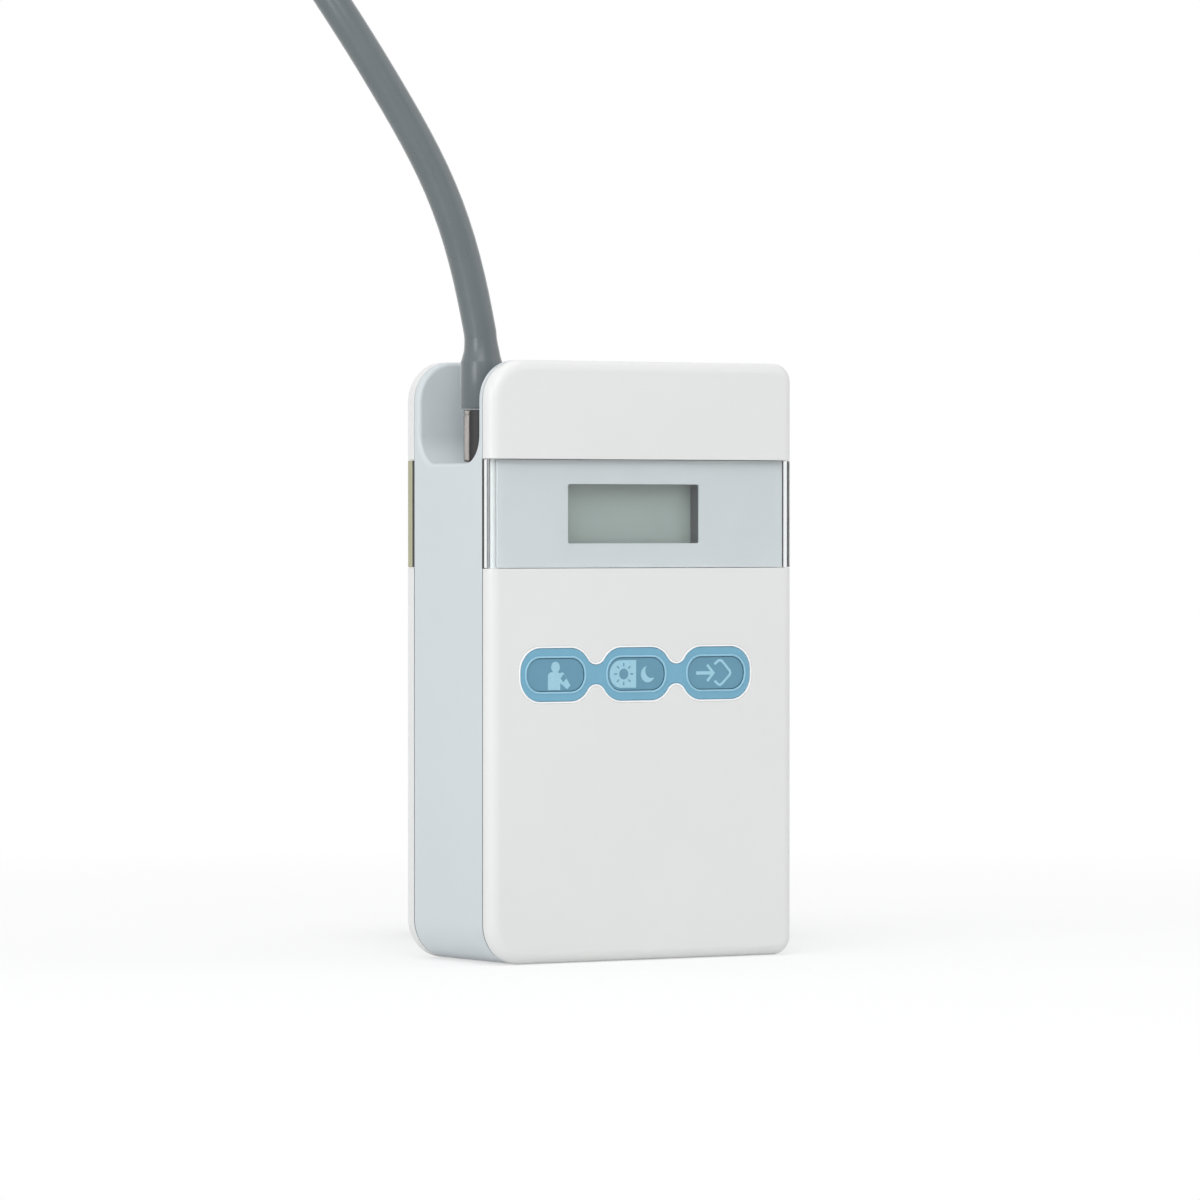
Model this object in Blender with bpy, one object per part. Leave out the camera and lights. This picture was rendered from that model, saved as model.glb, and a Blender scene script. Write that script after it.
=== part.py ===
"""Ambulatory blood pressure monitor: a hand-sized moulded case with a clear window that wraps round its
front, three soft keys, a sliding battery door, and an air hose that plugs into a scoop in its top left
corner.

Metres, +Z up. The origin is at the middle of the case's underside and the front faces -Y.
"""

import math

import bmesh
import bpy
import numpy as np
from mathutils import Matrix, Vector

# Running clearance between neighbours, and how far a cutter runs past what it cuts
gap = 0.0003
overrun = 0.003

# Case: two shells on a middle frame
case_width = 0.077
case_depth = 0.035
case_height = 0.128
left_corner_radius = 0.0085
right_corner_radius = 0.004
least_corner_radius = 0.0004
left_corner_steps = 5
right_corner_steps = 3
front_shell_depth = 0.0033
rear_shell_depth = 0.0032
shell_edge_radius = 0.0025
shell_edge_steps = 3
shell_wall = 0.002
frame_wall = 0.0024
lip_wall = 0.0014
lip_reach = 0.0022

# Clear windows that wrap round the front and the back, this far below the top of the case
window_drop = 0.021
window_height = 0.02315
window_thickness = 0.0012
backing_thickness = 0.002
backing_margin = 0.002
panel_thickness = 0.0005

# Everything on the front face is centred on this line
face_centre_x = -0.002

# Display
display_opening_width = 0.0332
display_opening_height = 0.0126
display_frame_width = 0.039
display_frame_height = 0.017
display_collar_wall = 0.0012
glass_width = 0.0362
glass_height = 0.0146
glass_thickness = 0.0018
glass_setback = 0.0038
contact_strip_height = 0.0016

# Keypad: three ovals joined by two necks, with a key in each
keypad_drop = 0.0226
key_pitch = 0.0203
oval_half_width = 0.0087
oval_half_height = 0.00565
oval_power = 2.6
neck_half_height = 0.0022
neck_blend_power = 5
oval_steps = 10
keypad_flange = 0.0013
keypad_flange_thickness = 0.0008
key_half_width = 0.00715
key_half_height = 0.0035
key_steps = 20
key_dish = 0.0002
key_edge = 0.0005
key_flange = 0.0008
key_flange_thickness = 0.0006
key_stem_radius = 0.002
key_travel = 0.0005
key_stop_clearance = 0.0001

# Scoop for the hose in the top left corner of the frame
scoop_depth = 0.0218
scoop_side_wall = 0.0017
scoop_length = 0.0172
scoop_fillet = 0.006
scoop_fillet_steps = 5
scoop_wall = 0.0019

# Air socket, its nut and seal, under the scoop's floor
socket_inset = 0.0084
socket_y = 0.0
socket_bore_radius = 0.0027
socket_body_radius = 0.0043
socket_flange_radius = 0.0062
socket_flange_thickness = 0.0009
socket_length = 0.0084
socket_bore_depth = 0.0065
seal_radius = 0.0056
seal_thickness = 0.0006
nut_radius = 0.0063
nut_height = 0.0023

# Main board
board_setback = 0.0085
board_thickness = 0.0016
board_side_room = 0.0021
board_below_keys = 0.02125
board_top_room = 0.0045
board_corner_cut = 0.003

# Switches on the front of the board, under the keys
switch_size = 0.006
switch_height = 0.0022
switch_plunger_radius = 0.0017
switch_plunger_height = 0.0005

# Screws, the bosses that take them, and the posts under the board
screw_low_inset = 0.0059
screw_low_z = 0.010
screw_high_inset = 0.0071
screw_top_inset = 0.007
screw_scoop_inset = 0.0065
screw_head_radius = 0.0023
screw_head_height = 0.0017
screw_shaft_radius = 0.0011
screw_shaft_length = 0.009
screw_slot_width = 0.0008
screw_slot_depth = 0.0006
boss_radius = 0.003
boss_seat_radius = 0.004
boss_end_depth = 0.009
pilot_depth = 0.0105
well_wall = 0.0006
well_floor = 0.0016
post_inset = 0.0034
post_rise = 0.004
post_radius = 0.0025
pin_radius = 0.001
pin_reach = 0.0008

# Battery bay, cells and contacts
cell_radius = 0.00725
cell_length = 0.0495
cell_nub_radius = 0.00275
cell_nub_length = 0.001
cell_edge = 0.0006
cell_pitch = 0.0152
cell_low_z = 0.0134
cell_door_room = 0.0007
bay_end_room = 0.00155
bay_wall = 0.0014
contact_thickness = 0.0004
contact_pad_radius = 0.003
contact_pad_height = 0.0005
contact_width = 0.010

# Battery door
door_side_margin = 0.0007
door_height = 0.040
door_thickness = 0.0021
door_tongue_reach = 0.0014
door_tongue_thickness = 0.0009
door_tab_half_width = 0.008
door_tab_reach = 0.0025
door_corner_radius = 0.003
door_seat_thickness = 0.002
door_seat_margin = 0.0014
grip_groove_count = 5
grip_groove_pitch = 0.0022
grip_groove_width = 0.001
grip_groove_depth = 0.0007
grip_groove_half_length = 0.0085
grip_top_margin = 0.006

# Pump
pump_clearance = 0.0004
pump_left_x = -0.026
motor_radius = 0.0097
motor_length = 0.030
motor_boss_radius = 0.0035
motor_boss_length = 0.0015
motor_mount_inset = 0.0075
pump_head_radius = 0.0097
pump_head_length = 0.0215
pump_rim = 0.0006
pump_rim_place = 0.005
pump_rim_width = 0.0016
pump_edge = 0.0008
pump_port_radius = 0.002
pump_port_length = 0.0035
pump_port_place = 0.0157
pump_mount_wall = 0.0011
pump_mount_width = 0.006

# Air block, valves and sensor
block_side_room = 0.0009
block_length = 0.0232
block_half_depth = 0.0045
block_height = 0.008
valve_size = 0.0095
valve_length = 0.0185
valve_core_radius = 0.003
valve_core_length = 0.002
safety_valve_inset = 0.0067
safety_valve_length = 0.0085
inner_tube_radius = 0.0019
inner_tube_spacing = 0.004
inner_tube_lead = 0.003
tube_bow_shares = (1 / 3, 2 / 3)
tube_entry_inset = 0.0045
pump_tube_bow_y = 0.0085
pump_tube_lift = 0.006
sensor_tube_bow_y = 0.005
sensor_tube_lift = 0.003
socket_tube_radius = 0.003
socket_tube_length = 0.0052
sensor_x = -0.006
sensor_drop = 0.0047
sensor_size = 0.008
sensor_height = 0.0045
sensor_port_length = 0.0035

# Small parts on the back of the board
buzzer_x = 0.0215
buzzer_drop = 0.028
buzzer_radius = 0.006
buzzer_height = 0.0045
buzzer_hole_radius = 0.001
clock_cell_x = 0.004
clock_cell_drop = 0.015
clock_cell_radius = 0.00625
clock_cell_rim = 0.0006
clock_cell_rim_height = 0.001
clock_cell_height = 0.003
chip_x = -0.026
chip_drop = 0.012
chip_size = 0.012
chip_height = 0.0014

# On and off button and the data socket, both in the frame's right wall
button_y = -0.0046
button_drop = 0.031
button_half_length = 0.0055
button_half_height = 0.0026
button_steps = 24
button_thickness = 0.0029
button_flange = 0.0008
button_flange_thickness = 0.0006
button_travel = 0.0006
button_switch_length = 0.0045
button_switch_size = 0.0044
data_y = 0.002
data_drop = 0.0525
data_bore_radius = 0.0038
data_body_radius = 0.0047
data_collar_radius = 0.0062
data_collar_thickness = 0.0012
data_length = 0.0115
data_bore_depth = 0.0058
data_pin_radius = 0.0004
data_pin_ring_radius = 0.0021
data_pin_count = 5
data_pin_facets = 8
data_pin_length = 0.0012

# Hose plug, boot, hose and the connector on its far end
hose_diameter = 0.007
hose_sides_resolution = 2
hose_point_spacing = 0.014
hose_end_straight = 0.0015
steps_per_chord = 24
plug_radius = 0.0039
plug_length = 0.0111
plug_groove_count = 2
plug_groove_depth = 0.0003
plug_groove_width = 0.0009
plug_groove_pitch = 0.0025
plug_chamfer = 0.0004
boot_radius = 0.0043
boot_straight_length = 0.0106
boot_taper_length = 0.0045
boot_top_radius = 0.00365
boot_edge = 0.0005

# Coil of put-away hose behind the case
coil_centre_x = 0.0415
coil_centre_y = 0.066
coil_outer_radius = 0.0393
coil_turns = 2.25
coil_points_per_turn = 24
coil_turn_clearance = 0.0006
coil_entry_angle = math.pi
coil_climb_turns = 0.5
coil_sides_resolution = 1
tie_thickness = 0.0007
tie_width = 0.008
tie_clearance = 0.0006
tie_corner_radius = 0.003
tie_corner_steps = 4
floor_clearance = 0.0001
tie_angle = math.radians(135)
connector_grip_radius = 0.0042
connector_grip_length = 0.011
connector_neck_radius = 0.0032
connector_neck_length = 0.0025
connector_tip_radius = 0.0027
connector_tip_length = 0.0085
connector_barb_height = 0.0004
connector_barb_count = 3
connector_edge = 0.0006

# Facets of turned pieces
fine_facets = 24
medium_facets = 18
coarse_facets = 12

# The hose's own way from the boot: up and over the left shoulder, back behind itself, and down to the floor
hose_route = [
    (-0.0301, 0.0000, 0.1333),
    (-0.0312, 0.0007, 0.1400),
    (-0.0335, 0.0021, 0.1517),
    (-0.0368, 0.0042, 0.1635),
    (-0.0416, 0.0073, 0.1752),
    (-0.0474, 0.0109, 0.1869),
    (-0.0517, 0.0136, 0.1954),
    (-0.0563, 0.0165, 0.2038),
    (-0.0630, 0.0263, 0.2204),
    (-0.0608, 0.0432, 0.2317),
    (-0.0506, 0.0608, 0.2332),
    (-0.0363, 0.0723, 0.2245),
    (-0.0233, 0.0735, 0.2088),
    (-0.0185, 0.0704, 0.2000),
    (-0.0140, 0.0676, 0.1911),
    (-0.0080, 0.0638, 0.1789),
    (-0.0029, 0.0606, 0.1666),
    (0.0005, 0.0584, 0.1544),
    (0.0029, 0.0570, 0.1421),
    (0.0041, 0.0562, 0.1351),
    (0.0041, 0.0556, 0.1280),
    (0.0038, 0.0515, 0.1120),
    (0.0030, 0.0450, 0.0930),
    (0.0025, 0.0375, 0.0740),
    (0.0022, 0.0312, 0.0565),
    (0.0022, 0.0291, 0.0422),
    (0.0022, 0.0332, 0.0272),
    (0.0022, 0.0440, 0.0163),
    (0.0022, 0.0587, 0.0122),
]

# Levels worked out from the sizes above
half_width = case_width / 2
half_depth = case_depth / 2
front_face_y = -half_depth
rear_face_y = half_depth
front_joint_y = front_face_y + front_shell_depth
rear_joint_y = rear_face_y - rear_shell_depth
frame_front_y = front_joint_y + gap
frame_rear_y = rear_joint_y - gap
front_inner_y = front_face_y + shell_wall
rear_inner_y = rear_face_y - shell_wall
lip_outer_inset = frame_wall + gap
lip_inner_inset = lip_outer_inset + lip_wall
window_top = case_height - window_drop
window_bottom = window_top - window_height
window_centre_z = (window_bottom + window_top) / 2
window_recess = window_thickness + gap
front_recess_y = front_face_y + window_recess + panel_thickness + gap
keypad_centre_z = window_bottom - keypad_drop
scoop_floor_z = case_height - scoop_depth
scoop_half_width = -frame_front_y - scoop_side_wall
scoop_inner_x = -half_width + scoop_length
socket_x = -half_width + socket_inset
board_front_y = front_face_y + board_setback
board_half_width = half_width - frame_wall - board_side_room
board_bottom_z = keypad_centre_z - board_below_keys
board_top_z = case_height - board_top_room
board_rear_y = board_front_y + board_thickness
part_seat_y = board_rear_y + gap
pump_y = (board_rear_y + rear_inner_y) / 2
glass_front_y = front_face_y + window_recess + glass_setback
glass_rear_y = glass_front_y + glass_thickness
display_frame_front_y = front_recess_y + backing_thickness + gap
display_frame_rear_y = board_front_y - gap
key_front_y = front_face_y + key_dish
keypad_rear_y = front_inner_y + gap + keypad_flange_thickness
key_flange_y = keypad_rear_y + gap
switch_front_y = display_frame_rear_y - switch_height
stem_end_y = switch_front_y - switch_plunger_height - key_travel - key_stop_clearance
door_inner_y = rear_face_y - door_thickness
bay_half_length = (cell_length + cell_nub_length) / 2 + bay_end_room
door_half_width = bay_half_length + door_side_margin
cell_centre_y = door_inner_y - cell_door_room - cell_radius
bay_floor_y = cell_centre_y - cell_radius - gap
bay_bottom_z = cell_low_z - cell_radius - gap
cell_high_z = cell_low_z + cell_pitch
bay_top_z = cell_high_z + cell_radius + gap
boss_end_y = rear_face_y - boss_end_depth
well_radius = screw_head_radius + gap
well_floor_y = boss_end_y + gap + well_floor
screw_hole_radius = screw_shaft_radius + gap
coil_pitch = hose_diameter + coil_turn_clearance
coil_layer_rise = coil_pitch
coil_low_z = floor_clearance + tie_thickness + gap + hose_diameter / 2
coil_high_z = coil_low_z + coil_layer_rise
plug_top_z = scoop_floor_z + gap + plug_length
boot_bottom_z = plug_top_z + gap
boot_top_z = boot_bottom_z + boot_straight_length + boot_taper_length
door_seat_top_z = door_height + door_tab_reach + gap + door_seat_margin
pump_reach = motor_radius + gap + pump_mount_wall + pump_clearance
pump_seat_reach = math.sqrt(max(pump_reach**2 - (rear_inner_y - door_seat_thickness - pump_y) ** 2, 0))
pump_z = max(bay_top_z + bay_wall + pump_reach, door_seat_top_z + pump_seat_reach)
pump_head_x = pump_left_x + motor_length + gap
pump_port_x = pump_head_x + pump_port_place
block_left_x = -half_width + frame_wall + block_side_room
block_right_x = block_left_x + block_length
block_top_z = scoop_floor_z - socket_length - 2 * gap - socket_tube_length
block_bottom_z = block_top_z - block_height
tube_entry_x = block_right_x - tube_entry_inset
button_z = case_height - button_drop
data_z = case_height - data_drop
post_x = board_half_width - post_inset
post_z = board_bottom_z + post_rise

# Where the four case screws stand, seen from the front
screw_places = [
    (screw_low_inset - half_width, screw_low_z),
    (half_width - screw_low_inset, screw_low_z),
    (half_width - screw_high_inset, case_height - screw_top_inset),
    (scoop_inner_x + screw_scoop_inset, case_height - screw_top_inset),
]
key_names = ["start", "day_night", "event"]
key_places = [face_centre_x + key_pitch * step for step in (-1, 0, 1)]


def clear_scene():
    for old in list(bpy.data.objects):
        bpy.data.objects.remove(old, do_unlink=True)


def linear(channel):
    """An sRGB channel from 0 to 255 as the linear value that a shader takes."""
    share = channel / 255
    return share / 12.92 if share <= 0.04045 else ((share + 0.055) / 1.055) ** 2.4


def make_material(name, colour, roughness, metallic=0.0, transmission=0.0):
    material = bpy.data.materials.new(name)
    material.use_nodes = True
    shader = material.node_tree.nodes["Principled BSDF"]
    shader.inputs["Base Color"].default_value = (*[linear(c) for c in colour], 1.0)
    shader.inputs["Roughness"].default_value = roughness
    shader.inputs["Metallic"].default_value = metallic
    shader.inputs["Transmission Weight"].default_value = transmission
    material.diffuse_color = (*[linear(c) for c in colour], 1.0)
    return material


# Forms

def loft(rings, closed=False):
    """A skin over rings of as many points each, capped at both ends, or joined end to end when closed."""
    mesh = bmesh.new()
    rows = [[mesh.verts.new(point) for point in ring] for ring in rings]
    pairs = list(zip(rows, rows[1:])) + ([(rows[-1], rows[0])] if closed else [])
    for first, second in pairs:
        for i in range(len(first)):
            j = (i + 1) % len(first)
            mesh.faces.new((first[i], first[j], second[j], second[i]))
    if not closed:
        mesh.faces.new(list(reversed(rows[0])))
        mesh.faces.new(rows[-1])
    bmesh.ops.recalc_face_normals(mesh, faces=mesh.faces)
    return mesh


def box(low, high):
    mesh = bmesh.new()
    bmesh.ops.create_cube(mesh, size=1)
    for vert in mesh.verts:
        for axis in range(3):
            vert.co[axis] = high[axis] if vert.co[axis] > 0 else low[axis]
    return mesh


def rod(radius, length, origin, axis, facets):
    return turned([(0, 0), (radius, 0), (radius, length), (0, length)], origin, axis, facets)


def turned(profile, origin, axis, facets):
    """A profile of (radius, distance along the axis) points turned about the axis, closed at both ends."""
    turn = Vector((0, 0, 1)).rotation_difference(Vector(axis)).to_matrix()
    mesh = bmesh.new()
    rows = []
    for radius, along in profile:
        angles = [2 * math.pi * step / facets for step in range(facets)] if radius > 0 else [0]
        ring = [Vector((radius * math.cos(a), radius * math.sin(a), along)) for a in angles]
        rows.append([mesh.verts.new(turn @ point + Vector(origin)) for point in ring])
    for first, second in zip(rows, rows[1:]):
        for i in range(facets):
            j = (i + 1) % facets
            corners = [first[i % len(first)], first[j % len(first)]]
            corners += [second[j % len(second)], second[i % len(second)]]
            mesh.faces.new(list(dict.fromkeys(corners)))
    bmesh.ops.recalc_face_normals(mesh, faces=mesh.faces)
    return mesh


def joined(meshes):
    """Several meshes in one, for a cutter or an added set of bosses."""
    whole = bmesh.new()
    for mesh in meshes:
        piece = bpy.data.meshes.new("piece")
        mesh.to_mesh(piece)
        mesh.free()
        whole.from_mesh(piece)
        bpy.data.meshes.remove(piece)
    return whole


def arc(centre, radius, start, end, steps):
    """Points of an arc between two angles in degrees."""
    angles = [math.radians(start + (end - start) * step / steps) for step in range(steps + 1)]
    return [(centre[0] + radius * math.cos(a), centre[1] + radius * math.sin(a)) for a in angles]


def rounded_outline(left, right, bottom, top, left_radius, right_radius, left_steps, right_steps):
    return (
        arc((left + left_radius, bottom + left_radius), left_radius, 180, 270, left_steps)
        + arc((right - right_radius, bottom + right_radius), right_radius, 270, 360, right_steps)
        + arc((right - right_radius, top - right_radius), right_radius, 0, 90, right_steps)
        + arc((left + left_radius, top - left_radius), left_radius, 90, 180, left_steps)
    )


def case_outline(inset=0.0):
    """The case seen from the front, drawn in by an inset. Its left corners are rounder than its right."""
    return rounded_outline(
        inset - half_width,
        half_width - inset,
        inset,
        case_height - inset,
        max(left_corner_radius - inset, least_corner_radius),
        max(right_corner_radius - inset, least_corner_radius),
        left_corner_steps,
        right_corner_steps,
    )


def at_y(outline, y):
    return [(x, y, z) for x, z in outline]


def at_z(outline, z):
    return [(x, y, z) for x, y in outline]


def at_x(outline, x):
    return [(x, y, z) for y, z in outline]


def oval(centre, half_width, half_height, power, steps):
    """A superellipse: power 2 is an ellipse, and more is squarer."""
    points = []
    for step in range(steps):
        angle = 2 * math.pi * step / steps
        across, up = math.cos(angle), math.sin(angle)
        points.append((
            centre[0] + half_width * math.copysign(abs(across) ** (2 / power), across),
            centre[1] + half_height * math.copysign(abs(up) ** (2 / power), up),
        ))
    return points


def keypad_half_height(x, grow):
    """How far the keypad reaches up and down at x: the largest of the ovals and the necks, blended."""
    reach = (neck_half_height + grow) if abs(x - face_centre_x) < key_pitch else 0
    total = reach ** neck_blend_power
    for centre in key_places:
        across = abs(x - centre) / (oval_half_width + grow)
        if across < 1:
            height = (oval_half_height + grow) * (1 - across ** oval_power) ** (1 / oval_power)
            total += height ** neck_blend_power
    return total ** (1 / neck_blend_power)


def keypad_outline(grow=0.0):
    """The keypad's edge, moved outwards by a distance: along its top from left to right, and back below."""
    reach = oval_half_width + grow
    columns = sorted(
        centre - reach * math.cos(math.pi * step / oval_steps)
        for centre in key_places
        for step in range(oval_steps + 1)
    )
    upper = [(x, keypad_centre_z + keypad_half_height(x, grow)) for x in columns]
    lower = [(x, keypad_centre_z - keypad_half_height(x, grow)) for x in reversed(columns[1:-1])]
    return upper + lower


def wrap_profile(face_y, joint_y, inset, depth, reach):
    """The window's section seen from above: round the case's front or back, from joint to joint.

    The outer line follows the case, moved out by a reach, and the inner one is drawn in by inset and depth.
    """
    far = abs(face_y - joint_y)
    radius = shell_edge_radius + reach
    outer = [(half_width + reach, far)]
    outer += arc((half_width - shell_edge_radius, shell_edge_radius), radius, 360, 270, shell_edge_steps)
    radius = max(shell_edge_radius - inset, least_corner_radius)
    inner = arc((half_width - inset - radius, depth + radius), radius, 270, 360, shell_edge_steps)
    inner += [(half_width - inset, far)]
    outer += [(-x, down) for x, down in reversed(outer)]
    inner = [(-x, down) for x, down in reversed(inner)] + inner
    return [(x, face_y - math.copysign(down, face_y * down)) for x, down in outer + inner]


def upright(outline, bottom, top):
    return loft([at_z(outline, bottom), at_z(outline, top)])


def through_y(outline, start, end):
    return loft([at_y(outline, start), at_y(outline, end)])


def through_x(outline, start, end):
    return loft([at_x(outline, start), at_x(outline, end)])


# Objects

def place(name, mesh, material, origin=(0, 0, 0), sharp_angle=35):
    """An object of this mesh with its own origin, shaded smooth except at its sharp edges."""
    bmesh.ops.translate(mesh, verts=mesh.verts, vec=-Vector(origin))
    data = bpy.data.meshes.new(name)
    mesh.to_mesh(data)
    mesh.free()
    data.materials.append(material)
    data.shade_smooth()
    data.set_sharp_from_angle(angle=math.radians(sharp_angle))
    made = bpy.data.objects.new(name, data)
    made.location = origin
    bpy.context.scene.collection.objects.link(made)
    return made


def helper(name, mesh):
    """A cutter or an addition, which isn't part of the model by itself."""
    data = bpy.data.meshes.new(name)
    mesh.to_mesh(data)
    mesh.free()
    made = bpy.data.objects.new(name, data)
    made.hide_render = True
    made.display_type = "WIRE"
    bpy.context.scene.collection.objects.link(made)
    return made


def combine(target, other, operation):
    step = target.modifiers.new(other.name, "BOOLEAN")
    step.operation = operation
    step.solver = "EXACT"
    step.object = other


def cut(target, name, mesh):
    combine(target, helper(name, mesh), "DIFFERENCE")


def add(target, name, mesh):
    combine(target, helper(name, mesh), "UNION")


def shell_rings(face_y, joint_y, inner_y):
    """The rings of a shell, from the middle of its inner face round its lip to its outer face."""
    outwards = 1 if face_y > 0 else -1
    lip_y = joint_y - outwards * lip_reach
    rings = [
        at_y(case_outline(lip_inner_inset), inner_y),
        at_y(case_outline(lip_inner_inset), lip_y),
        at_y(case_outline(lip_outer_inset), lip_y),
        at_y(case_outline(lip_outer_inset), joint_y),
        at_y(case_outline(), joint_y),
    ]
    for step in range(shell_edge_steps + 1):
        angle = math.pi / 2 * step / shell_edge_steps
        inset = shell_edge_radius * (1 - math.cos(angle))
        rings.append(at_y(case_outline(inset), face_y - outwards * shell_edge_radius * (1 - math.sin(angle))))
    return rings


def scoop_relief(near_y, far_y):
    """The room that a shell's lip and backing leave round the scoop's walls."""
    return box(
        (-half_width - overrun, near_y, scoop_floor_z - scoop_wall - gap),
        (scoop_inner_x + scoop_wall + gap, far_y, case_height + overrun),
    )


def window_backing(start_y, end_y):
    """The thicker wall behind a window."""
    edge = lip_inner_inset - lip_wall / 2
    return box(
        (edge - half_width, start_y, window_bottom - backing_margin),
        (half_width - edge, end_y, window_top + backing_margin),
    )


def window_piece(face_y, joint_y):
    profile = wrap_profile(face_y, joint_y, window_thickness, window_thickness, 0)
    return upright(profile, window_bottom + gap, window_top - gap)


def window_recess_cutter(face_y, joint_y, depth):
    past_joint = joint_y - math.copysign(overrun, face_y)
    profile = wrap_profile(face_y, past_joint, window_recess, depth, overrun)
    return upright(profile, window_bottom, window_top)


def build_front_shell(material):
    shell = place("front_shell", loft(shell_rings(front_face_y, front_joint_y, front_inner_y)), material)
    root_y = front_inner_y - shell_wall / 2
    add(shell, "front_backing", window_backing(root_y, front_recess_y + backing_thickness))
    end, seat, tip = boss_end_y - root_y, board_front_y - gap - root_y, board_rear_y + pin_reach - root_y
    bosses = []
    for x, z in screw_places:
        foot = boss_seat_radius if z > board_bottom_z else boss_radius
        profile = [(0, 0), (foot, 0), (foot, seat), (boss_radius, seat), (boss_radius, end), (0, end)]
        bosses.append(turned(tidy_profile(profile), (x, root_y, z), (0, 1, 0), medium_facets))
    for x in (-post_x, post_x):
        profile = [(0, 0), (post_radius, 0), (post_radius, seat)]
        profile += [(pin_radius, seat), (pin_radius, tip), (0, tip)]
        bosses.append(turned(profile, (x, root_y, post_z), (0, 1, 0), coarse_facets))
    add(shell, "front_bosses", joined(bosses))
    depth = front_recess_y - front_face_y
    cut(shell, "front_window_recess", window_recess_cutter(front_face_y, front_joint_y, depth))
    cut(shell, "front_scoop_relief", scoop_relief(front_joint_y, frame_rear_y))
    opening = through_y(keypad_outline(gap), front_face_y - overrun, front_inner_y + overrun)
    cut(shell, "keypad_opening", opening)
    cut(shell, "display_opening", display_prism(
        display_opening_width / 2 + display_collar_wall + gap,
        display_opening_height / 2 + display_collar_wall + gap,
        front_face_y - overrun,
        display_frame_front_y + overrun,
    ))
    pilots = [
        rod(screw_hole_radius, pilot_depth + overrun, (x, boss_end_y + overrun, z), (0, -1, 0), coarse_facets)
        for x, z in screw_places
    ]
    cut(shell, "screw_pilots", joined(pilots))


def tidy_profile(profile):
    """The profile without a point that repeats the one before it."""
    return [point for point, before in zip(profile, [None] + profile) if point != before]


def display_prism(half_across, half_up, start_y, end_y):
    return box(
        (face_centre_x - half_across, start_y, window_centre_z - half_up),
        (face_centre_x + half_across, end_y, window_centre_z + half_up),
    )


def build_frame(material):
    """The middle band of the case, with the scoop that its top left corner is moulded round."""
    frame = place("mid_frame", through_y(case_outline(), frame_front_y, frame_rear_y), material)
    left, right = frame_wall - half_width, half_width - frame_wall
    bottom, top = frame_wall, case_height - frame_wall
    left_radius = left_corner_radius - frame_wall
    right_radius = right_corner_radius - frame_wall
    step_x, step_z = scoop_inner_x + scoop_wall, scoop_floor_z - scoop_wall
    cavity = (
        arc((left + left_radius, bottom + left_radius), left_radius, 180, 270, left_corner_steps)
        + arc((right - right_radius, bottom + right_radius), right_radius, 270, 360, right_corner_steps)
        + arc((right - right_radius, top - right_radius), right_radius, 0, 90, right_corner_steps)
        + [(step_x, top), (step_x, step_z), (left, step_z)]
    )
    cut(frame, "frame_cavity", through_y(cavity, frame_front_y - overrun, frame_rear_y + overrun))
    cut(frame, "scoop", scoop_cutter())
    wide, narrow = socket_flange_radius + gap, socket_body_radius + gap
    step, under = -socket_flange_thickness - gap, -scoop_wall - overrun
    cut(frame, "socket_hole", turned(
        [(0, under), (narrow, under), (narrow, step), (wide, step), (wide, overrun), (0, overrun)],
        (socket_x, socket_y, scoop_floor_z), (0, 0, 1), fine_facets,
    ))
    hole = through_x(button_oval(gap), half_width - frame_wall - overrun, half_width + overrun)
    cut(frame, "button_hole", hole)
    cut(frame, "data_hole", rod(
        data_body_radius + gap, frame_wall + 2 * overrun,
        (half_width - frame_wall - overrun, data_y, data_z), (1, 0, 0), fine_facets,
    ))


def scoop_cutter():
    """A rounded trough, open to the left and to the top, whose far end curves into its floor and sides."""
    high = case_height + overrun

    def trough(inset):
        radius = max(scoop_fillet - inset, least_corner_radius)
        half, floor = scoop_half_width - inset, scoop_floor_z + inset
        return (
            arc((-half + radius, floor + radius), radius, 180, 270, scoop_fillet_steps)
            + arc((half - radius, floor + radius), radius, 270, 360, scoop_fillet_steps)
            + [(half, high), (-half, high)]
        )

    end_radius = scoop_fillet - least_corner_radius
    rings = [at_x(trough(0), -half_width - overrun)]
    for step in range(scoop_fillet_steps + 1):
        angle = math.pi / 2 * step / scoop_fillet_steps
        x = scoop_inner_x - end_radius * (1 - math.sin(angle))
        rings.append(at_x(trough(end_radius * (1 - math.cos(angle))), x))
    return loft(rings)


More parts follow.
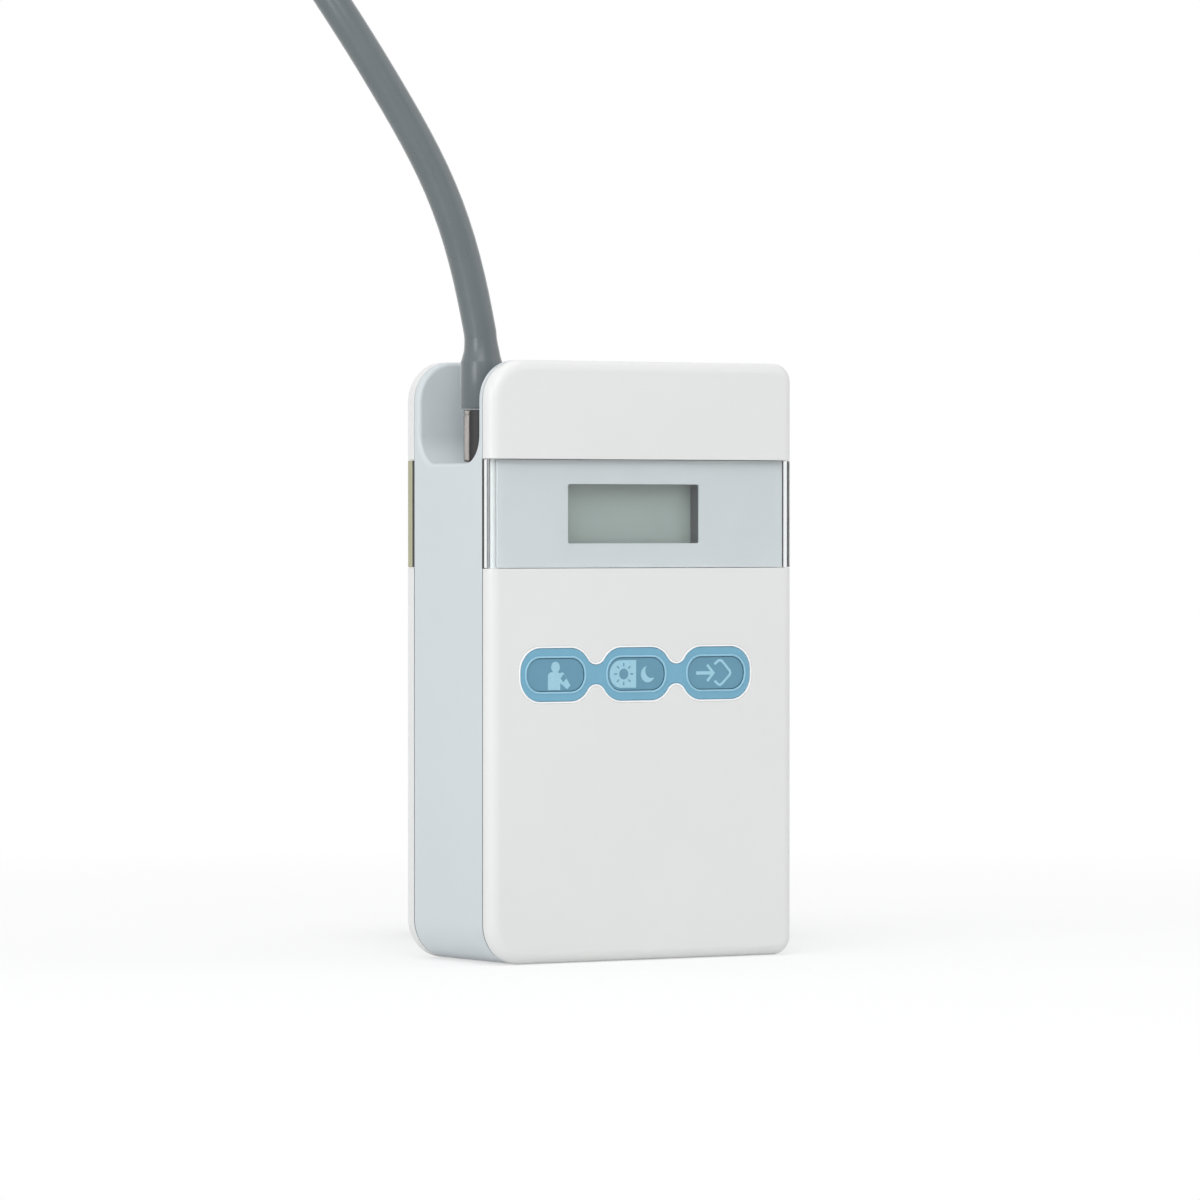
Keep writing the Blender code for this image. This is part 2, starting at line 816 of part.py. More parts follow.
def build_rear_shell(material):
    shell = place("rear_shell", loft(shell_rings(rear_face_y, rear_joint_y, rear_inner_y)), material)
    rear_recess_y = rear_face_y - window_recess
    backing_y = rear_inner_y + shell_wall / 2
    add(shell, "rear_backing", window_backing(rear_recess_y - backing_thickness, backing_y))
    well_length = rear_inner_y - boss_end_y
    wells = [
        rod(well_radius + well_wall, well_length, (x, boss_end_y + gap, z), (0, 1, 0), medium_facets)
        for x, z in screw_places
    ]
    add(shell, "screw_wells", joined(wells))
    seat = door_half_width + door_tongue_reach + gap + door_seat_margin
    add(shell, "door_seat", box(
        (-seat, rear_inner_y - door_seat_thickness, lip_inner_inset - lip_wall / 2),
        (seat, rear_inner_y + shell_wall / 2, door_seat_top_z),
    ))
    bay_outer = bay_half_length + bay_wall
    add(shell, "battery_bay", box(
        (-bay_outer, bay_floor_y - bay_wall, bay_bottom_z - bay_wall),
        (bay_outer, rear_inner_y - door_seat_thickness / 2, bay_top_z + bay_wall),
    ))
    cut(shell, "rear_window_recess", window_recess_cutter(rear_face_y, rear_joint_y, window_recess))
    cut(shell, "rear_scoop_relief", scoop_relief(frame_front_y, rear_joint_y))
    cut(shell, "bay_space", box(
        (-bay_half_length, bay_floor_y, bay_bottom_z),
        (bay_half_length, rear_face_y, bay_top_z),
    ))
    opening = door_half_width + gap
    cut(shell, "door_opening", through_y(
        door_outline(opening, -overrun, door_height + gap, door_corner_radius + gap),
        door_inner_y - gap,
        rear_face_y + overrun,
    ))
    slot = opening + door_tongue_reach
    tongue_rear = door_inner_y + door_tongue_thickness + gap
    cut(shell, "door_grooves", box(
        (-slot, door_inner_y - gap, -overrun), (slot, tongue_rear, door_height + gap),
    ))
    tab = door_tab_half_width + gap
    cut(shell, "door_catch", box(
        (-tab, door_inner_y - gap, door_height - door_corner_radius),
        (tab, tongue_rear, door_height + door_tab_reach + gap),
    ))
    depth = rear_face_y - well_floor_y
    heads = []
    for x, z in screw_places:
        head = [(0, -depth - well_floor - overrun), (screw_hole_radius, -depth - well_floor - overrun)]
        head += [(screw_hole_radius, -depth), (well_radius, -depth), (well_radius, overrun), (0, overrun)]
        heads.append(turned(head, (x, rear_face_y, z), (0, 1, 0), medium_facets))
    cut(shell, "screw_holes", joined(heads))


def door_outline(half, bottom, top, radius):
    """The door seen from the front: square below, with two round upper corners."""
    return (
        [(-half, bottom), (half, bottom)]
        + arc((half - radius, top - radius), radius, 0, 90, right_corner_steps)
        + arc((radius - half, top - radius), radius, 90, 180, right_corner_steps)
    )


def build_door(material):
    """The battery door, with a tongue along each side, a catch above and grooves for a thumb."""
    door = place(
        "battery_door",
        through_y(
            door_outline(door_half_width, 0, door_height, door_corner_radius), door_inner_y, rear_face_y,
        ),
        material,
        origin=(0, rear_face_y, door_height / 2),
    )
    reach = door_half_width + door_tongue_reach
    tongue_rear = door_inner_y + door_tongue_thickness
    add(door, "door_tongues", box(
        (-reach, door_inner_y, 0), (reach, tongue_rear, door_height - door_corner_radius),
    ))
    add(door, "door_tab", box(
        (-door_tab_half_width, door_inner_y, door_height - 2 * door_corner_radius),
        (door_tab_half_width, tongue_rear, door_height + door_tab_reach),
    ))
    # The case's rounded lower edge carries on across the door
    edge_y, edge_z = rear_face_y - shell_edge_radius, shell_edge_radius
    curve = arc((edge_y, edge_z), shell_edge_radius, 270, 360, shell_edge_steps + 1)
    corner = curve + [(rear_face_y + overrun, edge_z), (rear_face_y + overrun, -overrun), (edge_y, -overrun)]
    cut(door, "door_edge", through_x(corner, -reach - overrun, reach + overrun))
    grooves = []
    for step in range(grip_groove_count):
        z = door_height - grip_top_margin - step * grip_groove_pitch
        from_middle = abs(step - (grip_groove_count - 1) / 2)
        half_length = grip_groove_half_length - from_middle * grip_groove_pitch / 2
        grooves.append(box(
            (-half_length, rear_face_y - grip_groove_depth, z - grip_groove_width / 2),
            (half_length, rear_face_y + overrun, z + grip_groove_width / 2),
        ))
    cut(door, "door_grip", joined(grooves))


def build_windows(front_material, rear_material):
    place("front_window", window_piece(front_face_y, front_joint_y), front_material)
    place("rear_window", window_piece(rear_face_y, rear_joint_y), rear_material)


def build_display(panel_material, frame_material, glass_material, strip_material):
    panel_y = front_face_y + window_recess
    half = half_width - shell_edge_radius
    panel = place("display_panel", box(
        (-half, panel_y, window_bottom + gap),
        (half, panel_y + panel_thickness, window_top - gap),
    ), panel_material)
    cut(panel, "panel_opening", display_prism(
        display_opening_width / 2, display_opening_height / 2, panel_y - overrun, panel_y + overrun,
    ))
    frame = place("display_frame", display_prism(
        display_frame_width / 2, display_frame_height / 2, display_frame_front_y, display_frame_rear_y,
    ), frame_material)
    across, up = display_opening_width / 2, display_opening_height / 2
    add(frame, "display_collar", display_prism(
        across + display_collar_wall, up + display_collar_wall, front_recess_y, display_frame_front_y + gap,
    ))
    cut(frame, "display_sight", display_prism(
        across, up, front_recess_y - overrun, display_frame_rear_y + overrun,
    ))
    cut(frame, "display_pocket", display_prism(
        glass_width / 2 + gap, glass_height / 2 + gap, glass_front_y - gap, display_frame_rear_y + overrun,
    ))
    glass = display_prism(glass_width / 2, glass_height / 2, glass_front_y, glass_rear_y)
    place("display_glass", glass, glass_material)
    for name, side in (("upper", 1), ("lower", -1)):
        z = window_centre_z + side * (glass_height / 2 - contact_strip_height / 2)
        place(f"display_contact_{name}", box(
            (face_centre_x - glass_width / 2, glass_rear_y + gap, z - contact_strip_height / 2),
            (face_centre_x + glass_width / 2, board_front_y - gap, z + contact_strip_height / 2),
        ), strip_material)


def build_keypad(membrane_material, key_material, switch_material):
    body, flange = keypad_outline(), keypad_outline(keypad_flange)
    seat_y = front_inner_y + gap
    membrane = place("keypad_membrane", through_y(body, front_face_y, keypad_rear_y), membrane_material)
    add(membrane, "keypad_flange", through_y(flange, seat_y, keypad_rear_y))
    holes = [
        through_y(key_oval(x, gap), front_face_y - overrun, keypad_rear_y + overrun)
        for x in key_places
    ]
    cut(membrane, "key_holes", joined(holes))
    for name, x in zip(key_names, key_places):
        build_key(name, x, key_material)
        build_switch(name, x, switch_material)


def key_oval(x, grow=0.0):
    return oval((x, keypad_centre_z), key_half_width + grow, key_half_height + grow, oval_power, key_steps)


def build_key(name, x, material):
    """A key cap with a softened edge, a flange that keeps it in and a stem that presses its switch."""
    rings = [
        at_y(key_oval(x, key_flange), key_flange_y + key_flange_thickness),
        at_y(key_oval(x, key_flange), key_flange_y),
        at_y(key_oval(x), key_flange_y),
        at_y(key_oval(x), key_front_y + key_edge),
        at_y(key_oval(x, -key_edge), key_front_y),
    ]
    key = place(f"key_{name}", loft(rings), material, origin=(x, key_front_y, keypad_centre_z))
    start = key_flange_y + key_flange_thickness / 2
    stem = rod(key_stem_radius, stem_end_y - start, (x, start, keypad_centre_z), (0, 1, 0), coarse_facets)
    add(key, f"key_stem_{name}", stem)


def build_switch(name, x, material):
    half = switch_size / 2
    switch = place(f"key_switch_{name}", box(
        (x - half, switch_front_y, keypad_centre_z - half),
        (x + half, board_front_y - gap, keypad_centre_z + half),
    ), material)
    root = (x, switch_front_y + gap, keypad_centre_z)
    plunger = rod(switch_plunger_radius, switch_plunger_height + gap, root, (0, -1, 0), coarse_facets)
    add(switch, f"switch_plunger_{name}", plunger)


def build_board(material):
    """The main board, cut away round the scoop, with holes for the bosses and pins that carry it."""
    corner_x = scoop_inner_x + scoop_wall + gap
    corner_z = scoop_floor_z - scoop_wall - gap
    outline = [
        (-board_half_width, board_bottom_z),
        (board_half_width, board_bottom_z),
        (board_half_width, board_top_z - board_corner_cut),
        (board_half_width - board_corner_cut, board_top_z),
        (corner_x, board_top_z),
        (corner_x, corner_z),
        (-board_half_width, corner_z),
    ]
    board = place("main_board", through_y(outline, board_front_y, board_rear_y), material)
    holes = [(x, z, boss_radius + gap) for x, z in screw_places if z > board_bottom_z]
    holes += [(x, post_z, pin_radius + gap) for x in (-post_x, post_x)]
    depth = board_thickness + 2 * overrun
    cutters = [
        rod(radius, depth, (x, board_front_y - overrun, z), (0, 1, 0), medium_facets)
        for x, z, radius in holes
    ]
    cut(board, "board_holes", joined(cutters))


def build_screws(material):
    for number, (x, z) in enumerate(screw_places, 1):
        seat = well_floor_y + gap
        profile = [
            (0, -screw_shaft_length),
            (screw_shaft_radius, -screw_shaft_length),
            (screw_shaft_radius, 0),
            (screw_head_radius, 0),
            (screw_head_radius, screw_head_height),
            (0, screw_head_height),
        ]
        form = turned(profile, (x, seat, z), (0, 1, 0), coarse_facets)
        screw = place(f"case_screw_{number}", form, material)
        top = seat + screw_head_height
        arm, half = screw_head_radius * 2 / 3, screw_slot_width / 2
        cross = [(half, half), (half, arm), (-half, arm), (-half, half), (-arm, half), (-arm, -half)]
        cross += [(-half, -half), (-half, -arm), (half, -arm), (half, -half), (arm, -half), (arm, half)]
        cross = [(x + across, z + up) for across, up in cross]
        cut(screw, f"screw_cross_{number}", through_y(cross, top - screw_slot_depth, top + overrun))


def build_batteries(cell_material, contact_material):
    """Two cells that lie across the bay the opposite way round, and the contacts at their ends."""
    half = (cell_length + cell_nub_length) / 2
    profile = [
        (0, 0),
        (cell_radius - cell_edge, 0),
        (cell_radius, cell_edge),
        (cell_radius, cell_length - cell_edge),
        (cell_radius - cell_edge, cell_length),
        (cell_nub_radius, cell_length),
        (cell_nub_radius, cell_length + cell_nub_length),
        (0, cell_length + cell_nub_length),
    ]
    for name, z, way in (("lower", cell_low_z, 1), ("upper", cell_high_z, -1)):
        form = turned(profile, (-way * half, cell_centre_y, z), (way, 0, 0), medium_facets)
        place(f"battery_{name}", form, cell_material)
    low, high = cell_low_z - contact_width / 2, cell_high_z + contact_width / 2
    build_contact("contact_bridge", -1, low, high, (cell_low_z, cell_high_z), contact_material)
    for name, z in (("contact_plus", cell_low_z), ("contact_minus", cell_high_z)):
        build_contact(name, 1, z - contact_width / 2, z + contact_width / 2, (z,), contact_material)


def build_contact(name, side, bottom, top, pads, material):
    """A contact plate at one end of the bay, with a raised pad for each cell that it meets."""
    wall_x = side * (bay_half_length - gap)
    face_x = wall_x - side * contact_thickness
    low = (min(wall_x, face_x), cell_centre_y - contact_width / 2, bottom)
    high = (max(wall_x, face_x), cell_centre_y + contact_width / 2, top)
    contact = place(name, box(low, high), material)
    depth = contact_pad_height + contact_thickness / 2
    profile = [(0, 0), (contact_pad_radius, 0), (contact_pad_radius - contact_pad_height, depth), (0, depth)]
    raised = [
        turned(
            profile, (face_x + side * contact_thickness / 2, cell_centre_y, z), (-side, 0, 0), coarse_facets,
        )
        for z in pads
    ]
    add(contact, f"{name}_pads", joined(raised))


def build_pump(motor_material, head_material, mount_material):
    motor = [
        (0, -motor_boss_length),
        (motor_boss_radius, -motor_boss_length),
        (motor_boss_radius, 0),
        (motor_radius - pump_edge, 0),
        (motor_radius, pump_edge),
        (motor_radius, motor_length),
        (0, motor_length),
    ]
    form = turned(motor, (pump_left_x, pump_y, pump_z), (1, 0, 0), medium_facets)
    place("pump_motor", form, motor_material)
    rim = pump_head_radius + pump_rim
    head = [
        (0, 0),
        (pump_head_radius, 0),
        (pump_head_radius, pump_rim_place),
        (rim, pump_rim_place),
        (rim, pump_rim_place + pump_rim_width),
        (pump_head_radius, pump_rim_place + pump_rim_width),
        (pump_head_radius, pump_head_length - pump_edge),
        (pump_head_radius - pump_edge, pump_head_length),
        (0, pump_head_length),
    ]
    form = turned(head, (pump_head_x, pump_y, pump_z), (1, 0, 0), medium_facets)
    pump = place("pump_head", form, head_material)
    port_place = (pump_port_x, pump_y, pump_z)
    port = rod(pump_port_radius, pump_head_radius + pump_port_length, port_place, (0, 0, 1), coarse_facets)
    add(pump, "pump_port", port)
    mounts = (
        ("motor", motor_radius, pump_left_x + motor_mount_inset),
        ("head", pump_head_radius, pump_port_x - pump_port_radius - gap - pump_mount_width),
    )
    for name, radius, x in mounts:
        inner, outer = radius + gap, radius + gap + pump_mount_wall
        rings = []
        for size, along in ((outer, 0), (outer, pump_mount_width), (inner, pump_mount_width), (inner, 0)):
            rings.append(at_x(oval((pump_y, pump_z), size, size, 2, medium_facets), x + along))
        place(f"pump_mount_{name}", loft(rings, closed=True), mount_material)


def build_air_parts(block_material, valve_material, sensor_material, tube_material):
    place("air_block", box(
        (block_left_x, -block_half_depth, block_bottom_z),
        (block_right_x, block_half_depth, block_top_z),
    ), block_material)
    middle_z = (block_bottom_z + block_top_z) / 2
    half = valve_size / 2
    valve = place("exhaust_valve", box(
        (block_right_x + gap, -half, middle_z - half),
        (block_right_x + gap + valve_length, half, middle_z + half),
    ), valve_material)
    core_root = (block_right_x + gap + valve_length - valve_core_length, 0, middle_z)
    core = rod(valve_core_radius, 2 * valve_core_length, core_root, (1, 0, 0), coarse_facets)
    add(valve, "exhaust_valve_core", core)
    safety_valve_x = block_left_x + safety_valve_inset
    place("safety_valve", box(
        (safety_valve_x - half, block_half_depth + gap, middle_z - half),
        (safety_valve_x + half, block_half_depth + gap + safety_valve_length, middle_z + half),
    ), valve_material)
    sensor_half, sensor_z = sensor_size / 2, scoop_floor_z - sensor_drop
    sensor = place("pressure_sensor", box(
        (sensor_x - sensor_half, part_seat_y, sensor_z - sensor_half),
        (sensor_x + sensor_half, part_seat_y + sensor_height, sensor_z + sensor_half),
    ), sensor_material)
    port = sensor_height + sensor_port_length
    add(sensor, "sensor_port", rod(
        inner_tube_radius, port, (sensor_x, part_seat_y, sensor_z), (0, 1, 0), coarse_facets,
    ))
    # One tube runs from the pump's port to the back of the block, and one from the sensor's port to its top
    inner_tube(
        "pump_tube",
        (pump_port_x, pump_y, pump_z + pump_head_radius + pump_port_length + gap), (0, 0, 1),
        (tube_entry_x, block_half_depth + gap, middle_z), (0, -1, 0),
        pump_tube_bow_y, pump_tube_lift, tube_material,
    )
    inner_tube(
        "sensor_tube",
        (sensor_x, part_seat_y + port + gap, sensor_z), (0, 1, 0),
        (tube_entry_x, 0, block_top_z + gap), (0, 0, -1),
        sensor_tube_bow_y, sensor_tube_lift, tube_material,
    )
    place("socket_tube", rod(
        socket_tube_radius, socket_tube_length, (socket_x, socket_y, block_top_z + gap), (0, 0, 1),
        medium_facets,
    ), tube_material)


def inner_tube(name, start, start_way, end, end_way, bow_y, lift, material):
    """A soft tube from a port to the air block, which bows back to bow_y and rises by a lift on its way."""
    route = []
    for share in tube_bow_shares:
        point = Vector(start).lerp(Vector(end), share)
        route.append(Vector((point.x, bow_y, point.z + lift)))
    points, _ = smooth_points(start, route, end, start_way, end_way, inner_tube_lead, inner_tube_spacing)
    draw_tube(name, points, inner_tube_radius, material, 1)


def build_socket(metal_material, seal_material):
    """The metal air socket: its flange lies in the scoop's floor, and a nut holds it from below."""
    flange_bottom = -socket_flange_thickness
    socket = [
        (0, -socket_length),
        (socket_body_radius, -socket_length),
        (socket_body_radius, flange_bottom),
        (socket_flange_radius, flange_bottom),
        (socket_flange_radius, 0),
        (socket_bore_radius, 0),
        (socket_bore_radius, -socket_bore_depth),
        (0, -socket_bore_depth),
    ]
    centre = (socket_x, socket_y, scoop_floor_z)
    place("hose_socket", turned(socket, centre, (0, 0, 1), fine_facets), metal_material)
    bore = socket_body_radius + gap
    seal_top = scoop_floor_z - scoop_wall - gap
    seal_bottom = seal_top - seal_thickness
    rings = [
        at_z(oval((socket_x, socket_y), radius, radius, 2, medium_facets), z)
        for radius, z in (
            (seal_radius, seal_bottom), (seal_radius, seal_top), (bore, seal_top), (bore, seal_bottom),
        )
    ]
    place("socket_seal", loft(rings, closed=True), seal_material)
    # The nut stands with its flats to the case's sides
    nut_top = seal_bottom - gap
    nut_bottom = nut_top - nut_height
    hexagon = [(x, y) for y, x in oval((socket_y, socket_x), nut_radius, nut_radius, 2, 6)]
    nut = place("socket_nut", loft([at_z(hexagon, nut_bottom), at_z(hexagon, nut_top)]), metal_material)
    start = (socket_x, socket_y, nut_bottom - overrun)
    cut(nut, "nut_bore", rod(bore, nut_height + 2 * overrun, start, (0, 0, 1), medium_facets))


def build_board_parts(black_material, metal_material):
    buzzer = [
        (0, 0),
        (buzzer_radius, 0),
        (buzzer_radius, buzzer_height),
        (buzzer_hole_radius, buzzer_height),
        (buzzer_hole_radius, buzzer_height / 2),
        (0, buzzer_height / 2),
    ]
    centre = (buzzer_x, part_seat_y, case_height - buzzer_drop)
    place("buzzer", turned(buzzer, centre, (0, 1, 0), medium_facets), black_material)
    neck = clock_cell_radius - clock_cell_rim
    cell = [
        (0, 0),
        (neck, 0),
        (neck, clock_cell_rim_height),
        (clock_cell_radius, clock_cell_rim_height),
        (clock_cell_radius, clock_cell_height),
        (0, clock_cell_height),
    ]
    centre = (clock_cell_x, part_seat_y, case_height - clock_cell_drop)
    place("clock_cell", turned(cell, centre, (0, 1, 0), medium_facets), metal_material)
    half, chip_z = chip_size / 2, window_bottom - chip_drop
    place("main_chip", box(
        (chip_x - half, part_seat_y, chip_z - half),
        (chip_x + half, part_seat_y + chip_height, chip_z + half),
    ), black_material)


def button_oval(grow=0.0):
    half_length, half_height = button_half_length + grow, button_half_height + grow
    return oval((button_y, button_z), half_length, half_height, oval_power, button_steps)


def build_button(material, switch_material):
    """The on and off button in the right wall, with a flange inside, and the switch that it presses."""
    inside_x = half_width - button_thickness
    flange_x = inside_x - button_flange_thickness
    rings = [
        at_x(button_oval(button_flange), flange_x),
        at_x(button_oval(button_flange), inside_x),
        at_x(button_oval(), inside_x),
        at_x(button_oval(), half_width - key_edge),
        at_x(button_oval(-key_edge), half_width),
    ]
    place("on_off_button", loft(rings), material, origin=(half_width, button_y, button_z))
    end = flange_x - button_travel - key_stop_clearance
    half = button_switch_size / 2
    place("on_off_switch", box(
        (end - button_switch_length, part_seat_y, button_z - half),
        (end, part_seat_y + button_switch_size, button_z + half),
    ), switch_material)


def build_data_socket(metal_material, insert_material):
    """The round data socket in the right wall: a metal cup with a collar, and an insert with its pins."""
    wall_inner = -frame_wall - gap
    cup = [
        (0, -data_length),
        (data_body_radius, -data_length),
        (data_body_radius, wall_inner - data_collar_thickness),
        (data_collar_radius, wall_inner - data_collar_thickness),
        (data_collar_radius, wall_inner),
        (data_body_radius, wall_inner),
        (data_body_radius, 0),
        (data_bore_radius, 0),
        (data_bore_radius, gap - data_length + data_collar_thickness),
        (0, gap - data_length + data_collar_thickness),
    ]
    place("data_socket", turned(cup, (half_width, data_y, data_z), (1, 0, 0), fine_facets), metal_material)
    bottom_x = half_width - data_length + data_collar_thickness + 2 * gap
    face_x = half_width - data_bore_depth
    radius = data_bore_radius - gap
    body = rod(radius, face_x - bottom_x, (bottom_x, data_y, data_z), (1, 0, 0), medium_facets)
    insert = place("data_insert", body, insert_material)
    ring = oval((data_y, data_z), data_pin_ring_radius, data_pin_ring_radius, 2, data_pin_count)
    pins = [
        rod(data_pin_radius, data_pin_length + gap, (face_x - gap, y, z), (1, 0, 0), data_pin_facets)
        for y, z in ring
    ]
    add(insert, "data_pins", joined(pins))


# Hose

def smooth_points(start, route, end, start_way, end_way, lead, spacing):
    """Points on a tube's centre line, and its length.

    The tube leaves its start in start_way and meets its end in end_way, each with a short straight lead, and
    follows one smooth curve through its route between them, with a point every spacing.
    """
    start, end = Vector(start), Vector(end)
    stops = [start + lead * Vector(start_way), *route, end - lead * Vector(end_way)]
    stops = np.array([list(point) for point in stops])
    chords = np.linalg.norm(np.diff(stops, axis=0), axis=1)
    ways = np.gradient(stops, np.concatenate([[0.0], np.cumsum(chords)]), axis=0)
    ways[0], ways[-1] = start_way, end_way
    fine = []
    for i, chord in enumerate(chords):
        for t in np.arange(steps_per_chord) / steps_per_chord:
            fine.append(
                (2 * t**3 - 3 * t**2 + 1) * stops[i]
                + (t**3 - 2 * t**2 + t) * chord * ways[i]
                + (3 * t**2 - 2 * t**3) * stops[i + 1]
                + (t**3 - t**2) * chord * ways[i + 1]
            )
    fine = np.array([*fine, stops[-1]])
    along = np.concatenate([[0.0], np.cumsum(np.linalg.norm(np.diff(fine, axis=0), axis=1))])
    marks = np.linspace(0, along[-1], round(along[-1] / spacing) + 1)
    curve = np.stack([np.interp(marks, along, fine[:, axis]) for axis in range(3)], axis=1)
    return [start, *curve, end], along[-1] + 2 * lead


def draw_tube(name, points, radius, material, resolution):
    curve = bpy.data.curves.new(name, "CURVE")
    curve.dimensions = "3D"
    curve.bevel_depth = radius
    curve.bevel_resolution = resolution
    curve.use_fill_caps = True
    spline = curve.splines.new("POLY")
    spline.points.add(len(points) - 1)
    for point, place_ in zip(spline.points, points):
        point.co = (*place_, 1)
    curve.materials.append(material)
    made = bpy.data.objects.new(name, curve)
    bpy.context.scene.collection.objects.link(made)
    return made


def coil_points():
    """The put-away hose: it winds in on the upper layer, drops a layer at its turn, and winds out below."""
    points = []
    steps = round(coil_turns * coil_points_per_turn)
    for step in range(steps + 1):
        turn = step / coil_points_per_turn
        angle = coil_entry_angle - 2 * math.pi * turn
        radius = coil_outer_radius - coil_pitch * min(turn, coil_turns - turn)
        fall = (turn - (coil_turns - coil_climb_turns) / 2) / coil_climb_turns
        fall = (1 - math.cos(math.pi * min(max(fall, 0), 1))) / 2
        points.append(Vector((
            coil_centre_x + radius * math.cos(angle),
            coil_centre_y + radius * math.sin(angle),
            coil_high_z - coil_layer_rise * fall,
        )))
    first, last = points[0], points[-1]
    lead = Vector((0, hose_diameter, 0))
    tail = Vector((hose_diameter, 0, 0))
    return [first - lead] + points + [last + tail]


def least_gap(points):
    """The least gap between turns that aren't next to each other, between points and stretches."""
    stops = np.array([list(point) for point in points])
    along = np.concatenate([[0.0], np.cumsum(np.linalg.norm(np.diff(stops, axis=0), axis=1))])
    starts, ways = stops[:-1], np.diff(stops, axis=0)
    least = math.inf
    for point, place_along in zip(stops, along):
        share = np.clip(((point - starts) * ways).sum(1) / (ways**2).sum(1), 0, 1)
        nearest = np.linalg.norm(starts + share[:, None] * ways - point, axis=1)
        apart = np.minimum(abs(along[:-1] - place_along), abs(along[1:] - place_along)) > 4 * hose_diameter
        if apart.any():
            least = min(least, nearest[apart].min())
    return least - hose_diameter


def build_hose(plug_material, boot_material, hose_material, tie_material, connector_material):
    plug_bottom = scoop_floor_z + gap
    spigot = socket_bore_radius - gap
    spigot_bottom = scoop_floor_z - socket_bore_depth + gap
    plug = [(0, spigot_bottom), (spigot, spigot_bottom), (spigot, plug_bottom)]
    plug += [(plug_radius - plug_chamfer, plug_bottom), (plug_radius, plug_bottom + plug_chamfer)]
    for step in range(plug_groove_count):
        z = plug_bottom + plug_groove_pitch * (step + 1)
        plug += [
            (plug_radius, z),
            (plug_radius - plug_groove_depth, z),
            (plug_radius - plug_groove_depth, z + plug_groove_width),
            (plug_radius, z + plug_groove_width),
        ]
    plug += [(plug_radius, plug_top_z), (0, plug_top_z)]
    axis = (socket_x, socket_y, 0)
    place("hose_plug", turned(plug, axis, (0, 0, 1), fine_facets), plug_material)
    boot = [
        (0, boot_bottom_z),
        (boot_radius - boot_edge, boot_bottom_z),
        (boot_radius, boot_bottom_z + boot_edge),
        (boot_radius, boot_bottom_z + boot_straight_length),
        ((boot_radius + boot_top_radius) / 2, boot_top_z - boot_taper_length / 2),
        (boot_top_radius, boot_top_z),
        (0, boot_top_z),
    ]
    place("hose_boot", turned(boot, axis, (0, 0, 1), fine_facets), boot_material)
    wound = coil_points()
    start = (socket_x, socket_y, boot_top_z + gap)
    end = wound[0] - Vector((0, gap, 0))
    points, run = smooth_points(
        start, hose_route[1:-1], end, (0, 0, 1), (0, 1, 0), hose_end_straight, hose_point_spacing,
    )
    draw_tube("air_hose", points, hose_diameter / 2, hose_material, hose_sides_resolution)
    draw_tube("hose_coil", wound, hose_diameter / 2, hose_material, coil_sides_resolution)
    wound_length = sum((b - a).length for a, b in zip(wound, wound[1:]))
    print(f"hose: {run:.3f} m free and {wound_length:.3f} m wound, {run + wound_length:.3f} m in all")
    print(f"least gap of the coil to itself: {least_gap(wound) * 1000:.2f} mm")
    build_tie(tie_material)
    build_connector(wound[-1], connector_material)


def build_tie(material):
    """A strap round the whole bundle of turns."""
    turn = (coil_entry_angle - tie_angle) / (2 * math.pi)
    passes = [turn + whole for whole in range(math.ceil(coil_turns - turn))]
    radii = [coil_outer_radius - coil_pitch * min(place_, coil_turns - place_) for place_ in passes]
    inner = min(radii) - hose_diameter / 2 - tie_clearance
    outer = max(radii) + hose_diameter / 2 + tie_clearance
    low = floor_clearance + tie_thickness
    high = coil_high_z + hose_diameter / 2 + tie_clearance
    rings = []
    for grow, side in ((0, -1), (tie_thickness, -1), (tie_thickness, 1), (0, 1)):
        radius = tie_corner_radius + grow
        strap = rounded_outline(
            inner - grow, outer + grow, low - grow, high + grow, radius, radius,
            tie_corner_steps, tie_corner_steps,
        )
        rings.append(at_y(strap, side * tie_width / 2))
    mesh = loft(rings, closed=True)
    spot = Matrix.Translation((coil_centre_x, coil_centre_y, 0)) @ Matrix.Rotation(tie_angle, 4, "Z")
    bmesh.ops.transform(mesh, matrix=spot, verts=mesh.verts)
    place("coil_tie", mesh, material)


def build_connector(hose_end, material):
    """The cuff side connector: a grip with a softened edge, a neck and a barbed tip."""
    start = gap
    grip = start + connector_grip_length
    neck = grip + connector_neck_length
    profile = [
        (0, start),
        (connector_grip_radius - connector_edge, start),
        (connector_grip_radius, start + connector_edge),
        (connector_grip_radius, grip - connector_edge),
        (connector_grip_radius - connector_edge, grip),
        (connector_neck_radius, grip),
        (connector_neck_radius, neck),
    ]
    pitch = connector_tip_length / connector_barb_count
    for step in range(connector_barb_count):
        profile += [
            (connector_tip_radius + connector_barb_height, neck + pitch * step),
            (connector_tip_radius, neck + pitch * (step + 1)),
        ]
    profile.append((0, neck + connector_tip_length))
    place("cuff_connector", turned(profile, hose_end, (1, 0, 0), medium_facets), material)


